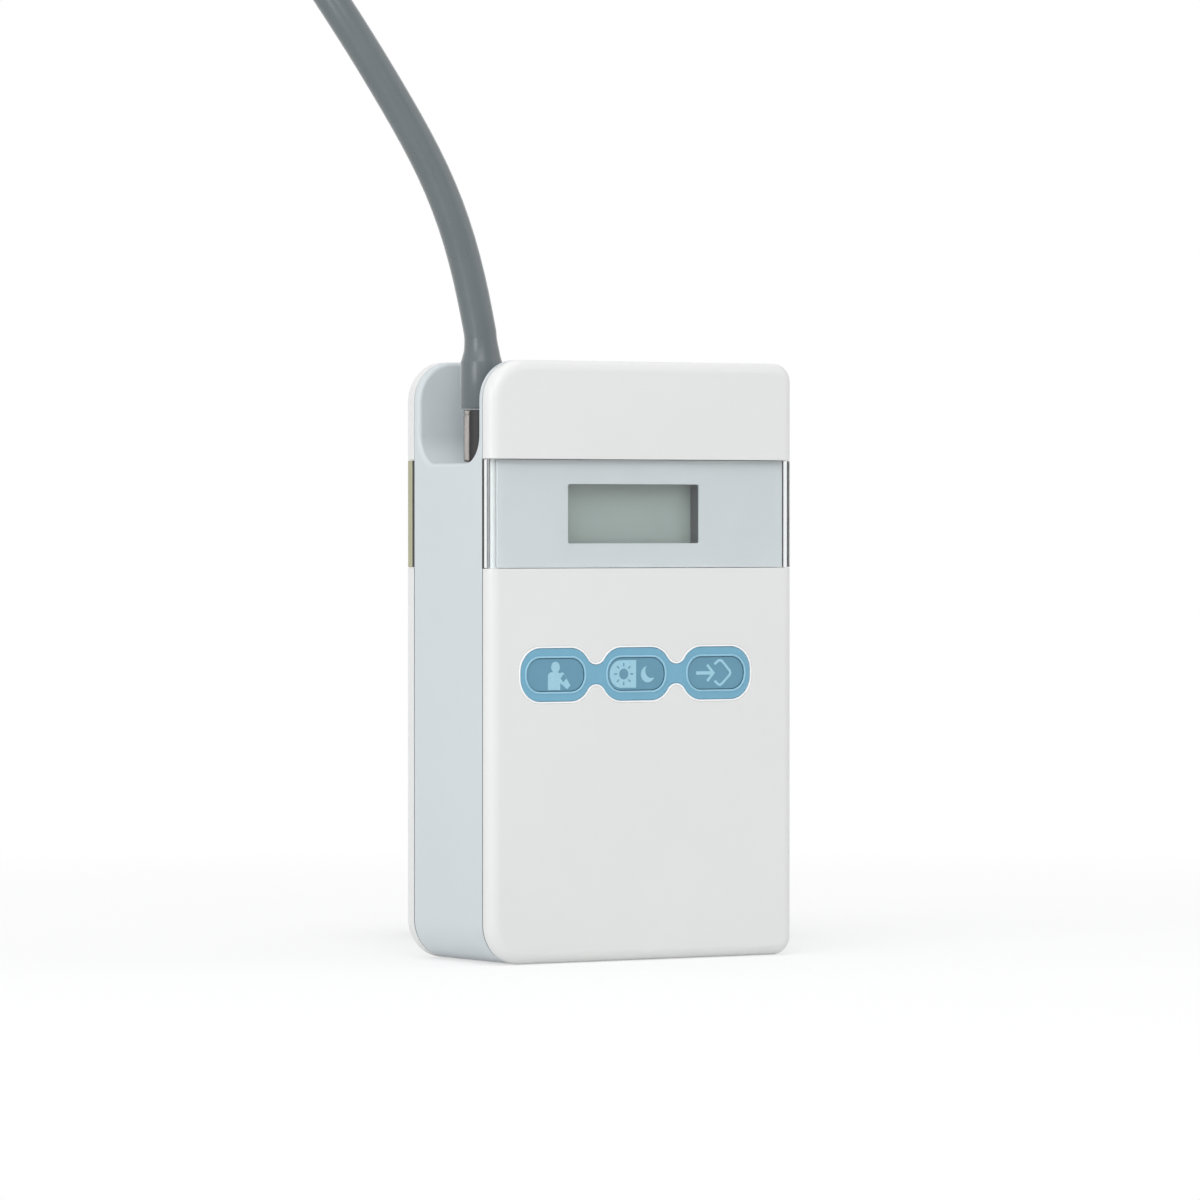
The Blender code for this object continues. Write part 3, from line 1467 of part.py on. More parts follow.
def main():
    clear_scene()
    white = make_material("white_case", (226, 227, 226), 0.32)
    band = make_material("pale_band", (207, 216, 219), 0.38)
    clear = make_material("clear_window", (235, 240, 240), 0.05, transmission=0.9)
    rear_clear = make_material("rear_window", (206, 208, 170), 0.1, transmission=0.8)
    panel = make_material("display_panel", (199, 207, 209), 0.4)
    dark = make_material("dark_plastic", (52, 55, 57), 0.5)
    glass = make_material("display_glass", (150, 163, 157), 0.15)
    rubber = make_material("contact_rubber", (70, 66, 68), 0.7)
    membrane = make_material("keypad_blue", (112, 172, 202), 0.45)
    key = make_material("key_blue", (98, 146, 172), 0.45)
    board = make_material("board_green", (38, 84, 58), 0.5)
    black = make_material("black_plastic", (28, 28, 30), 0.45)
    steel = make_material("steel", (176, 178, 180), 0.3, metallic=1.0)
    nickel = make_material("nickel", (190, 186, 178), 0.22, metallic=1.0)
    grey = make_material("grey_plastic", (196, 200, 202), 0.4)
    cell = make_material("cell_sleeve", (60, 78, 96), 0.35)
    block = make_material("block_plastic", (214, 212, 204), 0.5)
    silicone = make_material("silicone", (222, 220, 214), 0.4)
    seal = make_material("seal_rubber", (40, 40, 42), 0.7)
    hose = make_material("hose_grey", (108, 113, 116), 0.42)
    strap = make_material("tie_strap", (44, 46, 50), 0.8)
    build_front_shell(white)
    build_frame(band)
    build_rear_shell(white)
    build_door(white)
    build_windows(clear, rear_clear)
    build_display(panel, dark, glass, rubber)
    build_keypad(membrane, key, black)
    build_board(board)
    build_screws(steel)
    build_batteries(cell, nickel)
    build_pump(steel, grey, seal)
    build_air_parts(block, black, black, silicone)
    build_socket(nickel, seal)
    build_board_parts(black, steel)
    build_button(key, black)
    build_data_socket(nickel, black)
    build_hose(nickel, hose, hose, strap, grey)


main()
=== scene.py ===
"""Ambulatory blood pressure monitor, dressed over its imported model.

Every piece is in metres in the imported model's own frame: +Z up, the front faces -Y, and the origin is at the
middle of the case's underside. Each sub-assembly is a class that holds its sizes, builds its meshes and
dresses them.
"""

import sys
import logging
import math
from collections.abc import Callable, Sequence
from dataclasses import dataclass
from enum import Enum
from typing import Any

import bmesh
import bpy
import numpy as np
from mathutils import Matrix, Vector


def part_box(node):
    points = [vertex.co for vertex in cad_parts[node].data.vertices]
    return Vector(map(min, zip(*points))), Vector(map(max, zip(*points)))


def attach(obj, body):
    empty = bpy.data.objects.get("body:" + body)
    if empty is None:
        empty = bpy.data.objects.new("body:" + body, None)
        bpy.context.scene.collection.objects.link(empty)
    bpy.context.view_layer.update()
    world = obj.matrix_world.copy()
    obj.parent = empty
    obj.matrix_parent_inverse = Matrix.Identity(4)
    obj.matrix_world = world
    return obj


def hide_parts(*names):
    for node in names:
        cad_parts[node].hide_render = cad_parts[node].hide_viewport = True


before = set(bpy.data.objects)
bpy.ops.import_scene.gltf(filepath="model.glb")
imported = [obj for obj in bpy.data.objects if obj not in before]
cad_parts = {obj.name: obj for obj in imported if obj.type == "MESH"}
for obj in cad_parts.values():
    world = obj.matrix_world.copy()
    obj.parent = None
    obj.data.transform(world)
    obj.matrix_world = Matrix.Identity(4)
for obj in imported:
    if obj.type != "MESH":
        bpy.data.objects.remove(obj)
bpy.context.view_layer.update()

log = logging.getLogger("monitor")

Flat = tuple[float, float]
Spot = tuple[float, float, float]
Colour = tuple[int, int, int]
Form = bmesh.types.BMesh
Mesh = bpy.types.Mesh
Socket = bpy.types.NodeSocket

X: Spot = (1, 0, 0)
Y: Spot = (0, 1, 0)
Z: Spot = (0, 0, 1)
MERGE = 2e-6
LEVEL = math.radians(0.3)
SHARP = math.radians(30)


# Plane outlines

def arc(centre: Flat, radius: float, start: float, end: float, steps: int) -> list[Flat]:
    """Points of an arc.

    Args:
        centre: The arc's centre.
        radius: Its radius in metres.
        start: The first angle in degrees.
        end: The last angle in degrees.
        steps: How many chords it has.

    Returns:
        The points, one more than the chords.
    """
    angles = [math.radians(start + (end - start) * step / steps) for step in range(steps + 1)]
    return [(centre[0] + radius * math.cos(a), centre[1] + radius * math.sin(a)) for a in angles]


def rounded(left: float, right: float, low: float, high: float, radii: Flat, steps: int) -> list[Flat]:
    """A rectangle with round corners.

    Args:
        left: Its left side.
        right: Its right side.
        low: Its lower side.
        high: Its upper side.
        radii: The radius of its left corners, and of its right ones.
        steps: How many chords each corner has.

    Returns:
        The outline, counterclockwise from the lower left corner.
    """
    near, far = radii
    return (
        arc((left + near, low + near), near, 180, 270, steps)
        + arc((right - far, low + far), far, 270, 360, steps)
        + arc((right - far, high - far), far, 0, 90, steps)
        + arc((left + near, high - near), near, 90, 180, steps)
    )


def oval(centre: Flat, across: float, up: float, power: float = 2.0, steps: int = 72) -> list[Flat]:
    """A superellipse.

    Args:
        centre: Its centre.
        across: Half its width.
        up: Half its height.
        power: 2 for an ellipse, and more for a squarer outline.
        steps: How many points it has.

    Returns:
        The outline, counterclockwise.
    """
    points = []
    for step in range(steps):
        angle = 2 * math.pi * step / steps
        x, y = math.cos(angle), math.sin(angle)
        points.append((
            centre[0] + across * math.copysign(abs(x) ** (2 / power), x),
            centre[1] + up * math.copysign(abs(y) ** (2 / power), y),
        ))
    return points


def stroke(line: Sequence[Flat], width: float, least_turn: float = 0.3) -> list[Flat]:
    """A band of even width along an open line, with mitred turns.

    Args:
        line: The points that the band follows.
        width: The band's width.
        least_turn: What limits how far a mitre runs out.

    Returns:
        The band's outline.
    """
    spots = [Vector(point) for point in line]
    ways = [(b - a).normalized() for a, b in zip(spots, spots[1:])]
    left, right = [], []
    for number, spot in enumerate(spots):
        before, after = ways[max(number - 1, 0)], ways[min(number, len(ways) - 1)]
        way = (before + after).normalized()
        side = Vector((-way.y, way.x)) * (width / 2 / max(way.dot(after), least_turn))
        left.append(tuple(spot + side))
        right.append(tuple(spot - side))
    return left + right[::-1]


def at_x(outline: Sequence[Flat], x: float) -> list[Spot]:
    """The outline of (y, z) points stood in the plane of this x."""
    return [(x, y, z) for y, z in outline]


def at_y(outline: Sequence[Flat], y: float) -> list[Spot]:
    """The outline of (x, z) points stood in the plane of this y."""
    return [(x, y, z) for x, z in outline]


def at_z(outline: Sequence[Flat], z: float) -> list[Spot]:
    """The outline of (x, y) points laid in the plane of this z."""
    return [(x, y, z) for x, y in outline]


Place = Callable[[Sequence[Flat], float], list[Spot]]


# Forms

def loft(rings: Sequence[Sequence[Spot]], closed: bool = False) -> Form:
    """A skin over rings of as many points each.

    Args:
        rings: The rings, in order.
        closed: True where the last ring joins the first, and otherwise both ends are capped.

    Returns:
        The closed form, its faces outwards.
    """
    form = bmesh.new()
    rows = [[form.verts.new(point) for point in ring] for ring in rings]
    for first, second in zip(rows, rows[1:] + (rows[:1] if closed else [])):
        for i in range(len(first)):
            j = (i + 1) % len(first)
            form.faces.new((first[i], first[j], second[j], second[i]))
    if not closed:
        form.faces.new(rows[0][::-1])
        form.faces.new(rows[-1])
    bmesh.ops.recalc_face_normals(form, faces=form.faces)
    return form


def skin(
    outline: Callable[[float], list[Flat]], rings: Sequence[Flat], place: Place = at_y, closed: bool = False,
) -> Form:
    """A skin over one outline drawn at several sizes and levels.

    Args:
        outline: Gives the outline, grown or drawn in by a distance.
        rings: Each ring's distance and its level.
        place: at_x, at_y or at_z, which says how the outline stands.
        closed: True where the last ring joins the first.

    Returns:
        The form.
    """
    return loft([place(outline(change), level) for change, level in rings], closed)


def through(place: Place, outline: Sequence[Flat], a: float, b: float) -> Form:
    """A prism of this outline between two levels."""
    return loft([place(outline, a), place(outline, b)])


def block(low: Spot, high: Spot) -> Form:
    """A box between two corners."""
    form = bmesh.new()
    bmesh.ops.create_cube(form, size=1)
    for vert in form.verts:
        vert.co = [high[axis] if vert.co[axis] > 0 else low[axis] for axis in range(3)]
    return form


def turned(profile: Sequence[Flat], origin: Spot, axis: Spot, facets: int = 72, closed: bool = False) -> Form:
    """A profile turned about an axis.

    Args:
        profile: Points of (radius, distance along the axis). An open one starts and ends at radius 0.
        origin: Where the axis starts.
        axis: Its direction.
        facets: How many facets the form has round it.
        closed: True where the profile's end joins its start, round a bore.

    Returns:
        The form, its faces outwards.
    """
    turn = Vector(Z).rotation_difference(Vector(axis)).to_matrix()
    form = bmesh.new()
    rows = []
    for radius, along in profile:
        angles = [2 * math.pi * step / facets for step in range(facets)] if radius > 0 else [0]
        ring = [turn @ Vector((radius * math.cos(a), radius * math.sin(a), along)) for a in angles]
        rows.append([form.verts.new(point + Vector(origin)) for point in ring])
    for first, second in zip(rows, rows[1:] + (rows[:1] if closed else [])):
        for i in range(facets):
            j = (i + 1) % facets
            there = [first[i % len(first)], first[j % len(first)]]
            back = [second[j % len(second)], second[i % len(second)]]
            form.faces.new(list(dict.fromkeys(there + back)))
    bmesh.ops.recalc_face_normals(form, faces=form.faces)
    return form


def rod(radius: float, length: float, origin: Spot, axis: Spot, facets: int = 48) -> Form:
    """A plain round bar, for a cutter or an addition."""
    return turned([(0, 0), (radius, 0), (radius, length), (0, length)], origin, axis, facets)


def collar(inner: float, outer: float, length: float, origin: Spot, axis: Spot) -> Form:
    """A ring with a bore right through it."""
    return turned([(inner, 0), (outer, 0), (outer, length), (inner, length)], origin, axis, closed=True)


def as_mesh(form: Form, name: str = "loose") -> Mesh:
    """The form as a mesh, after which the form is gone."""
    mesh = bpy.data.meshes.new(name)
    form.to_mesh(mesh)
    form.free()
    return mesh


def as_form(mesh: Mesh) -> Form:
    """The mesh as a form, after which the mesh is gone."""
    form = bmesh.new()
    form.from_mesh(mesh)
    bpy.data.meshes.remove(mesh)
    return form


def together(forms: Sequence[Form]) -> Form:
    """Several forms as one."""
    whole = bmesh.new()
    for form in forms:
        mesh = as_mesh(form)
        whole.from_mesh(mesh)
        bpy.data.meshes.remove(mesh)
    return whole


class Cut(Enum):
    """What a step does with its form."""

    ADD = "UNION"
    TAKE = "DIFFERENCE"
    KEEP = "INTERSECT"


def link(name: str, data: Any) -> bpy.types.Object:
    """A new object of this data in the scene."""
    made = bpy.data.objects.new(name, data)
    bpy.context.scene.collection.objects.link(made)
    return made


def loose_object(form: Form | Mesh) -> bpy.types.Object:
    """A helper object of this form, which is removed again after its use."""
    return link("loose", as_mesh(form) if isinstance(form, Form) else form)


def evaluated(made: bpy.types.Object) -> Mesh:
    """The plain mesh that an object's modifiers give, with the modifiers removed."""
    graph = bpy.context.evaluated_depsgraph_get()
    final = made.evaluated_get(graph)
    mesh = bpy.data.meshes.new_from_object(final, preserve_all_data_layers=True, depsgraph=graph)
    made.modifiers.clear()
    return mesh


def remove(made: bpy.types.Object) -> None:
    """Removes a helper object and its mesh."""
    mesh = made.data
    bpy.data.objects.remove(made, do_unlink=True)
    bpy.data.meshes.remove(mesh)


def carved(base: Form | Mesh, *steps: tuple[Cut, Form]) -> Mesh:
    """The base with each step's form added, taken away or kept, in order.

    Args:
        base: What the work starts from.
        steps: Pairs of what to do and the form to do it with.

    Returns:
        One plain mesh.
    """
    body = loose_object(base)
    tools = []
    for cut, form in steps:
        tool = loose_object(form)
        step = body.modifiers.new("cut", "BOOLEAN")
        step.operation, step.solver, step.object = cut.value, "EXACT", tool
        tools.append(tool)
    mesh = evaluated(body)
    for made in (body, *tools):
        remove(made)
    return mesh


def cleaned(form: Form) -> Form:
    """The form with its double points merged and its level faces joined."""
    bmesh.ops.remove_doubles(form, verts=form.verts, dist=MERGE)
    bmesh.ops.dissolve_limit(form, angle_limit=LEVEL, verts=form.verts, edges=form.edges)
    return form


def softened(shape: Form | Mesh, width: float) -> Mesh:
    """The shape with its sharp edges rounded off, and with normals that keep its flats flat.

    Args:
        shape: The form or mesh.
        width: How wide each rounded edge is.

    Returns:
        The finished mesh.
    """
    body = loose_object(cleaned(shape if isinstance(shape, Form) else as_form(shape)))
    if width:
        edge = body.modifiers.new("edge", "BEVEL")
        edge.width, edge.segments = width, 2
        edge.limit_method, edge.angle_limit = "ANGLE", SHARP
        edge.use_clamp_overlap, edge.miter_outer = False, "MITER_ARC"
    for face in body.data.polygons:
        face.use_smooth = True
    even = body.modifiers.new("even", "WEIGHTED_NORMAL")
    even.keep_sharp, even.weight = True, 80
    mesh = evaluated(body)
    remove(body)
    return mesh


# Node trees

class Tree:
    """A node tree, with short ways to add nodes and to join them."""

    def __init__(self, tree: bpy.types.NodeTree) -> None:
        """Takes the tree to work on."""
        self.tree = tree

    def add(self, kind: str, inputs: dict[str | int, Any] | None = None, **settings: Any) -> bpy.types.Node:
        """Adds a node.

        Args:
            kind: The node's type.
            inputs: Values, or sockets to link, by the input's name or number.
            settings: The node's own properties.

        Returns:
            The node.
        """
        node = self.tree.nodes.new(kind)
        for name, value in settings.items():
            setattr(node, name, value)
        for name, value in (inputs or {}).items():
            self.feed(node, name, value)
        return node

    def feed(self, node: bpy.types.Node, name: str | int, value: Any) -> None:
        """Sets a node's input to a value, or links a socket to it."""
        if isinstance(value, Socket):
            self.tree.links.new(value, node.inputs[name])
        else:
            node.inputs[name].default_value = value

    def math(self, operation: str, *values: Any) -> Socket:
        """A Math node's result."""
        return self.add("ShaderNodeMath", dict(enumerate(values)), operation=operation).outputs[0]

    def seen(self) -> Socket:
        """One for rays from the camera, in gloss and through glass, and 0 for the rest."""
        rays = self.add("ShaderNodeLightPath").outputs
        own = self.math("MAXIMUM", rays["Is Camera Ray"], rays["Is Glossy Ray"])
        return self.math("MAXIMUM", own, rays["Is Transmission Ray"])


# Finishes

def linear(colour: Sequence[float]) -> tuple[float, ...]:
    """An sRGB colour of three channels from 0 to 255, as the linear colour that a shader takes."""
    shares = [channel / 255 for channel in colour]
    return (*[s / 12.92 if s <= 0.04045 else ((s + 0.055) / 1.055) ** 2.4 for s in shares], 1.0)


def shade(colour: Sequence[float], share: float) -> tuple[float, ...]:
    """The colour made darker or, above 1, lighter."""
    return tuple(min(channel * share, 255) for channel in colour)


class Graph(Tree):
    """A material's node tree."""

    def __init__(self, name: str) -> None:
        """Starts a material of this name."""
        self.material = bpy.data.materials.new(name)
        self.material.use_nodes = True
        super().__init__(self.material.node_tree)
        self.shader = self.tree.nodes["Principled BSDF"]

    def surface(self, **values: Any) -> None:
        """Sets the main shader's inputs, by their names with underscores for spaces."""
        for name, value in values.items():
            self.feed(self.shader, name.replace("_", " "), value)

    def mix_in(self, share: Socket, kind: str, **inputs: Any) -> None:
        """Mixes another shader over the main one.

        Args:
            share: How much of the other shader shows.
            kind: Its node's type.
            inputs: Its values by their names.
        """
        other = self.add(kind, inputs)
        both = self.add("ShaderNodeMixShader", {0: share, 1: self.shader.outputs[0], 2: other.outputs[0]})
        self.feed(self.tree.nodes["Material Output"], "Surface", both.outputs[0])

    def place(self, scale: Spot | None = None) -> Socket:
        """Object coordinates in metres, scaled or as they are."""
        coords = self.add("ShaderNodeTexCoord").outputs["Object"]
        if scale is None:
            return coords
        return self.add("ShaderNodeMapping", {"Vector": coords, "Scale": scale}).outputs[0]

    def along(self, scale: Spot = (1, 1, 1)) -> Socket:
        """The piece's own UV map, scaled."""
        coords = self.add("ShaderNodeUVMap", uv_map="UVMap").outputs[0]
        return self.add("ShaderNodeMapping", {"Vector": coords, "Scale": scale}).outputs[0]

    def noise(self, where: Socket, scale: float, detail: float = 2.0, roughness: float = 0.5) -> Socket:
        """Even noise from 0 to 1."""
        values = {"Vector": where, "Scale": scale, "Detail": detail, "Roughness": roughness}
        return self.add("ShaderNodeTexNoise", values).outputs[0]

    def cells(self, where: Socket, scale: float, randomness: float, distance: str) -> Socket:
        """The distance to the middle of the nearest of many cells."""
        values = {"Vector": where, "Scale": scale, "Randomness": randomness}
        return self.add("ShaderNodeTexVoronoi", values, distance=distance, feature="F1").outputs["Distance"]

    def spread(self, value: Socket, low: float, high: float, start: float = 0.0, end: float = 1.0) -> Socket:
        """A value from start to end, spread from low to high."""
        values = {"Value": value, "From Min": start, "From Max": end, "To Min": low, "To Max": high}
        return self.add("ShaderNodeMapRange", values).outputs[0]

    def mix(self, share: Socket, first: Any, last: Any) -> Socket:
        """A colour between two linear colours or sockets by a share."""
        return self.add("ShaderNodeMix", {0: share, 6: first, 7: last}, data_type="RGBA").outputs[2]

    def tones(self, share: Socket, colour: Colour, low: float, high: float) -> Socket:
        """An sRGB colour between a darker and a lighter shade of it, by a share from 0 to 1."""
        return self.mix(share, linear(shade(colour, low)), linear(shade(colour, high)))

    def axis(self, where: Socket, name: str) -> Socket:
        """One of a vector's parts, X, Y or Z."""
        return self.add("ShaderNodeSeparateXYZ", {"Vector": where}).outputs[name]

    def relief(self, height: Socket, depth: float) -> None:
        """Raises the surface by a height from 0 to 1, times a depth in metres."""
        values = {"Height": height, "Distance": depth, "Strength": 1.0}
        self.surface(Normal=self.add("ShaderNodeBump", values).outputs[0])


@dataclass(frozen=True)
class Finish:
    """A finish with a colour of its own."""

    colour: Colour

    def dress(self, graph: Graph) -> None:
        """Sets the surface of a new material."""
        raise NotImplementedError

    def material(self, name: str) -> bpy.types.Material:
        """Makes the material under this name."""
        graph = Graph(name)
        self.dress(graph)
        return graph.material


@dataclass(frozen=True)
class MouldedPlastic(Finish):
    """Moulded plastic with a fine spark-eroded grain and a faint unevenness of colour and gloss."""

    roughness: float = 0.34
    mottle: float = 0.012
    uneven: float = 0.05
    grain: float = 0.00025
    grain_depth: float = 0.000004

    def dress(self, graph: Graph) -> None:
        """Clouds of tone and gloss, and the mould's grain."""
        where = graph.place()
        clouds, gloss = graph.noise(where, scale=28, detail=3), graph.noise(where, scale=140, detail=4)
        graph.surface(
            Base_Color=graph.tones(clouds, self.colour, 1 - self.mottle, 1 + self.mottle),
            Roughness=graph.spread(gloss, self.roughness - self.uneven, self.roughness + self.uneven),
            IOR=1.5,
        )
        graph.relief(graph.noise(where, 1 / self.grain, detail=3, roughness=0.6), self.grain_depth)


@dataclass(frozen=True)
class ClearPlastic(Finish):
    """Clear moulded plastic that lets the lamps' light through to what lies behind it."""

    roughness: float = 0.02
    haze: float = 0.0
    ripple_depth: float = 0.000001

    def dress(self, graph: Graph) -> None:
        """A faintly rippled clear body that casts a light shadow of its own colour."""
        where = graph.place()
        graph.surface(
            Base_Color=graph.tones(graph.noise(where, scale=45), self.colour, 0.985, 1),
            Roughness=self.roughness,
            IOR=1.49,
            Transmission_Weight=1.0 - self.haze,
        )
        graph.relief(graph.noise(where, scale=220), self.ripple_depth)
        shadow = graph.add("ShaderNodeLightPath").outputs["Is Shadow Ray"]
        graph.mix_in(shadow, "ShaderNodeBsdfTransparent", Color=linear(self.colour))


@dataclass(frozen=True)
class SoftRubber(Finish):
    """Matt silicone or rubber, a little uneven, with a soft sheen."""

    roughness: float = 0.5
    uneven: float = 0.06
    grain_depth: float = 0.000006

    def dress(self, graph: Graph) -> None:
        """Clouds of tone and gloss, and a fine grain."""
        where = graph.place()
        gloss = graph.noise(where, scale=900, detail=3)
        graph.surface(
            Base_Color=graph.tones(graph.noise(where, scale=180, detail=3), self.colour, 0.96, 1.03),
            Roughness=graph.spread(gloss, self.roughness - self.uneven, self.roughness + self.uneven),
            Sheen_Weight=0.15,
            Specular_IOR_Level=0.6,
            IOR=1.45,
        )
        graph.relief(graph.noise(where, scale=5200), self.grain_depth)


class Lay(Enum):
    """The way that a metal's fine tool marks run, as scales along X, Y and Z."""

    ALL_WAYS = (1.0, 1.0, 1.0)
    ROUND_X = (30.0, 0.6, 0.6)
    ROUND_Z = (0.6, 0.6, 30.0)
    ALONG_X = (0.5, 12.0, 12.0)


@dataclass(frozen=True)
class ToolMarkedMetal(Finish):
    """Plated or turned metal with fine tool marks and a few duller patches."""

    roughness: float = 0.26
    lay: Lay = Lay.ALL_WAYS
    mark_depth: float = 0.000003

    def dress(self, graph: Graph) -> None:
        """Tool marks along the lay, over duller patches."""
        dull = graph.noise(graph.place(), scale=260, detail=3)
        graph.surface(
            Base_Color=graph.tones(dull, self.colour, 0.88, 1.05),
            Metallic=1.0,
            Roughness=graph.spread(dull, self.roughness - 0.06, self.roughness + 0.1),
        )
        marks = graph.noise(graph.place(self.lay.value), scale=800, detail=3, roughness=0.6)
        graph.relief(marks, self.mark_depth)


@dataclass(frozen=True)
class HoseRubber(Finish):
    """Extruded rubber: faint lines along the hose, a slight bloom, and a fine grain."""

    roughness: float = 0.42
    line_scale: Spot = (18, 46, 1)
    line_share: float = 0.4
    line_depth: float = 0.000008

    def dress(self, graph: Graph) -> None:
        """Lines along the hose's own UV map, with bloom and grain over them."""
        lines = graph.noise(graph.along(self.line_scale), scale=1, detail=3)
        bloom = graph.noise(graph.place(), scale=75, detail=4)
        shares = (
            graph.math("MULTIPLY", lines, self.line_share), graph.math("MULTIPLY", bloom, 1 - self.line_share),
        )
        graph.surface(
            Base_Color=graph.tones(graph.math("ADD", *shares), self.colour, 0.93, 1.06),
            Roughness=graph.spread(bloom, self.roughness - 0.04, self.roughness + 0.06, start=0.3, end=0.7),
            Sheen_Weight=0.9,
            Sheen_Roughness=0.3,
            IOR=1.5,
        )
        grain = graph.math("MULTIPLY", graph.noise(graph.place(), scale=3600), 0.5)
        graph.relief(graph.math("ADD", grain, lines), self.line_depth)


@dataclass(frozen=True)
class WovenStrap(Finish):
    """Flat woven webbing: warp threads along it and weft threads across, over and under each other."""

    thread: float = 0.0004
    thread_depth: float = 0.00008

    def dress(self, graph: Graph) -> None:
        """The weave on the strap's own UV map, with fuzz over it."""
        where, turn = graph.along(), math.pi / self.thread
        warp, weft = [
            graph.math("SINE", graph.math("MULTIPLY", graph.axis(where, name), turn)) for name in ("X", "Y")
        ]
        weave = graph.spread(graph.math("MULTIPLY", warp, weft), 0, 1, start=-1, end=1)
        fuzz = graph.noise(graph.place(), scale=4200, detail=3)
        graph.surface(
            Base_Color=graph.mix(fuzz, graph.tones(weave, self.colour, 0.6, 1), linear(self.colour)),
            Roughness=graph.spread(fuzz, 0.7, 0.95),
            Sheen_Weight=0.3,
        )
        graph.relief(weave, self.thread_depth)


@dataclass(frozen=True)
class PrintedInk(Finish):
    """A pale printed mark, slightly uneven like a pad print."""

    grain_depth: float = 0.000004

    def dress(self, graph: Graph) -> None:
        """Fine clouds of tone and gloss."""
        where = graph.place()
        graph.surface(
            Base_Color=graph.tones(graph.noise(where, scale=1500, detail=3), self.colour, 0.94, 1.03),
            Roughness=graph.spread(graph.noise(where, scale=700), 0.4, 0.55),
        )
        graph.relief(graph.noise(where, scale=6000), self.grain_depth)


@dataclass(frozen=True)
class DisplayGlass(Finish):
    """A display that is off: grey green behind a polariser, with the faint grid of its segments' leads."""

    lead_pitch: float = 0.0011
    lead_width: float = 0.06
    grain_depth: float = 0.000002

    def dress(self, graph: Graph) -> None:
        """The polariser's clouds, and the leads over them."""
        where = graph.place()
        across = graph.math("PINGPONG", graph.axis(where, "X"), self.lead_pitch / 2)
        lead = graph.math("LESS_THAN", across, self.lead_pitch * self.lead_width)
        base = graph.tones(graph.noise(where, scale=60), self.colour, 0.98, 1.02)
        graph.surface(
            Base_Color=graph.mix(graph.math("MULTIPLY", lead, 0.12), base, linear(shade(self.colour, 0.92))),
            Roughness=graph.spread(graph.noise(where, scale=300), 0.28, 0.36),
            Coat_Weight=0.3,
        )
        graph.relief(graph.noise(where, scale=5000), self.grain_depth)


@dataclass(frozen=True)
class CircuitBoard(Finish):
    """Solder mask over copper: broad fields, fine tracks and small tinned pads."""

    tin: Colour = (196, 190, 172)
    copper_depth: float = 0.00002

    def dress(self, graph: Graph) -> None:
        """Tracks and pads from two fields of cells that run through the board."""
        where = graph.place((1, 0.01, 1))
        tracks = graph.cells(where, scale=420, randomness=0.35, distance="MANHATTAN")
        track = graph.math("LESS_THAN", graph.math("PINGPONG", tracks, 0.12), 0.035)
        pad = graph.math("LESS_THAN", graph.cells(where, scale=390, randomness=0.2, distance="CHEBYCHEV"), 0.09)
        graph.surface(
            Base_Color=graph.mix(pad, graph.tones(track, self.colour, 1, 1.28), linear(self.tin)),
            Roughness=graph.spread(pad, 0.42, 0.3),
            Metallic=graph.math("MULTIPLY", pad, 0.8),
        )
        graph.relief(graph.math("ADD", track, pad), self.copper_depth)


@dataclass(frozen=True)
class CellSleeve(Finish):
    """A cell's printed sleeve: a dark body, and a copper band at its raised end."""

    way: int
    band: Colour = (176, 112, 70)
    band_start: float = 0.0132
    rim: Colour = (226, 226, 222)
    rim_width: float = 0.0004

    def dress(self, graph: Graph) -> None:
        """The body, the band and the pale line between them."""
        along = graph.math("MULTIPLY", graph.axis(graph.place(), "X"), float(self.way))
        copper = graph.math("GREATER_THAN", along, self.band_start)
        off = graph.math("ABSOLUTE", graph.math("SUBTRACT", along, self.band_start))
        brushed = graph.noise(graph.place((30, 1, 1)), scale=500, detail=3)
        body, gold = graph.tones(brushed, self.colour, 0.94, 1.05), graph.tones(brushed, self.band, 0.9, 1.05)
        rim = graph.math("LESS_THAN", off, self.rim_width)
        graph.surface(
            Base_Color=graph.mix(rim, graph.mix(copper, body, gold), linear(self.rim)),
            Metallic=graph.spread(copper, 0.15, 0.75),
            Roughness=graph.spread(brushed, 0.26, 0.38),
            Coat_Weight=0.4,
        )
        graph.relief(brushed, 0.000002)


class Slot(Enum):
    """The record's material slots, by what they are the finish of."""

    SHELL = "white_case"
    BAND = "pale_band"
    WINDOW = "clear_window"
    REAR_WINDOW = "rear_window"
    PANEL = "display_panel"
    DARK = "dark_plastic"
    DISPLAY = "display_glass"
    CONTACT_RUBBER = "contact_rubber"
    KEYPAD = "keypad_blue"
    KEY = "key_blue"
    BOARD = "board_green"
    BLACK = "black_plastic"
    STEEL = "steel"
    NICKEL = "nickel"
    GREY = "grey_plastic"
    CELL = "cell_sleeve"
    BLOCK = "block_plastic"
    SILICONE = "silicone"
    SEAL = "seal_rubber"
    HOSE = "hose_grey"
    STRAP = "tie_strap"


NICKEL: Colour = (186, 180, 176)
SLEEVE: Colour = (52, 70, 90)

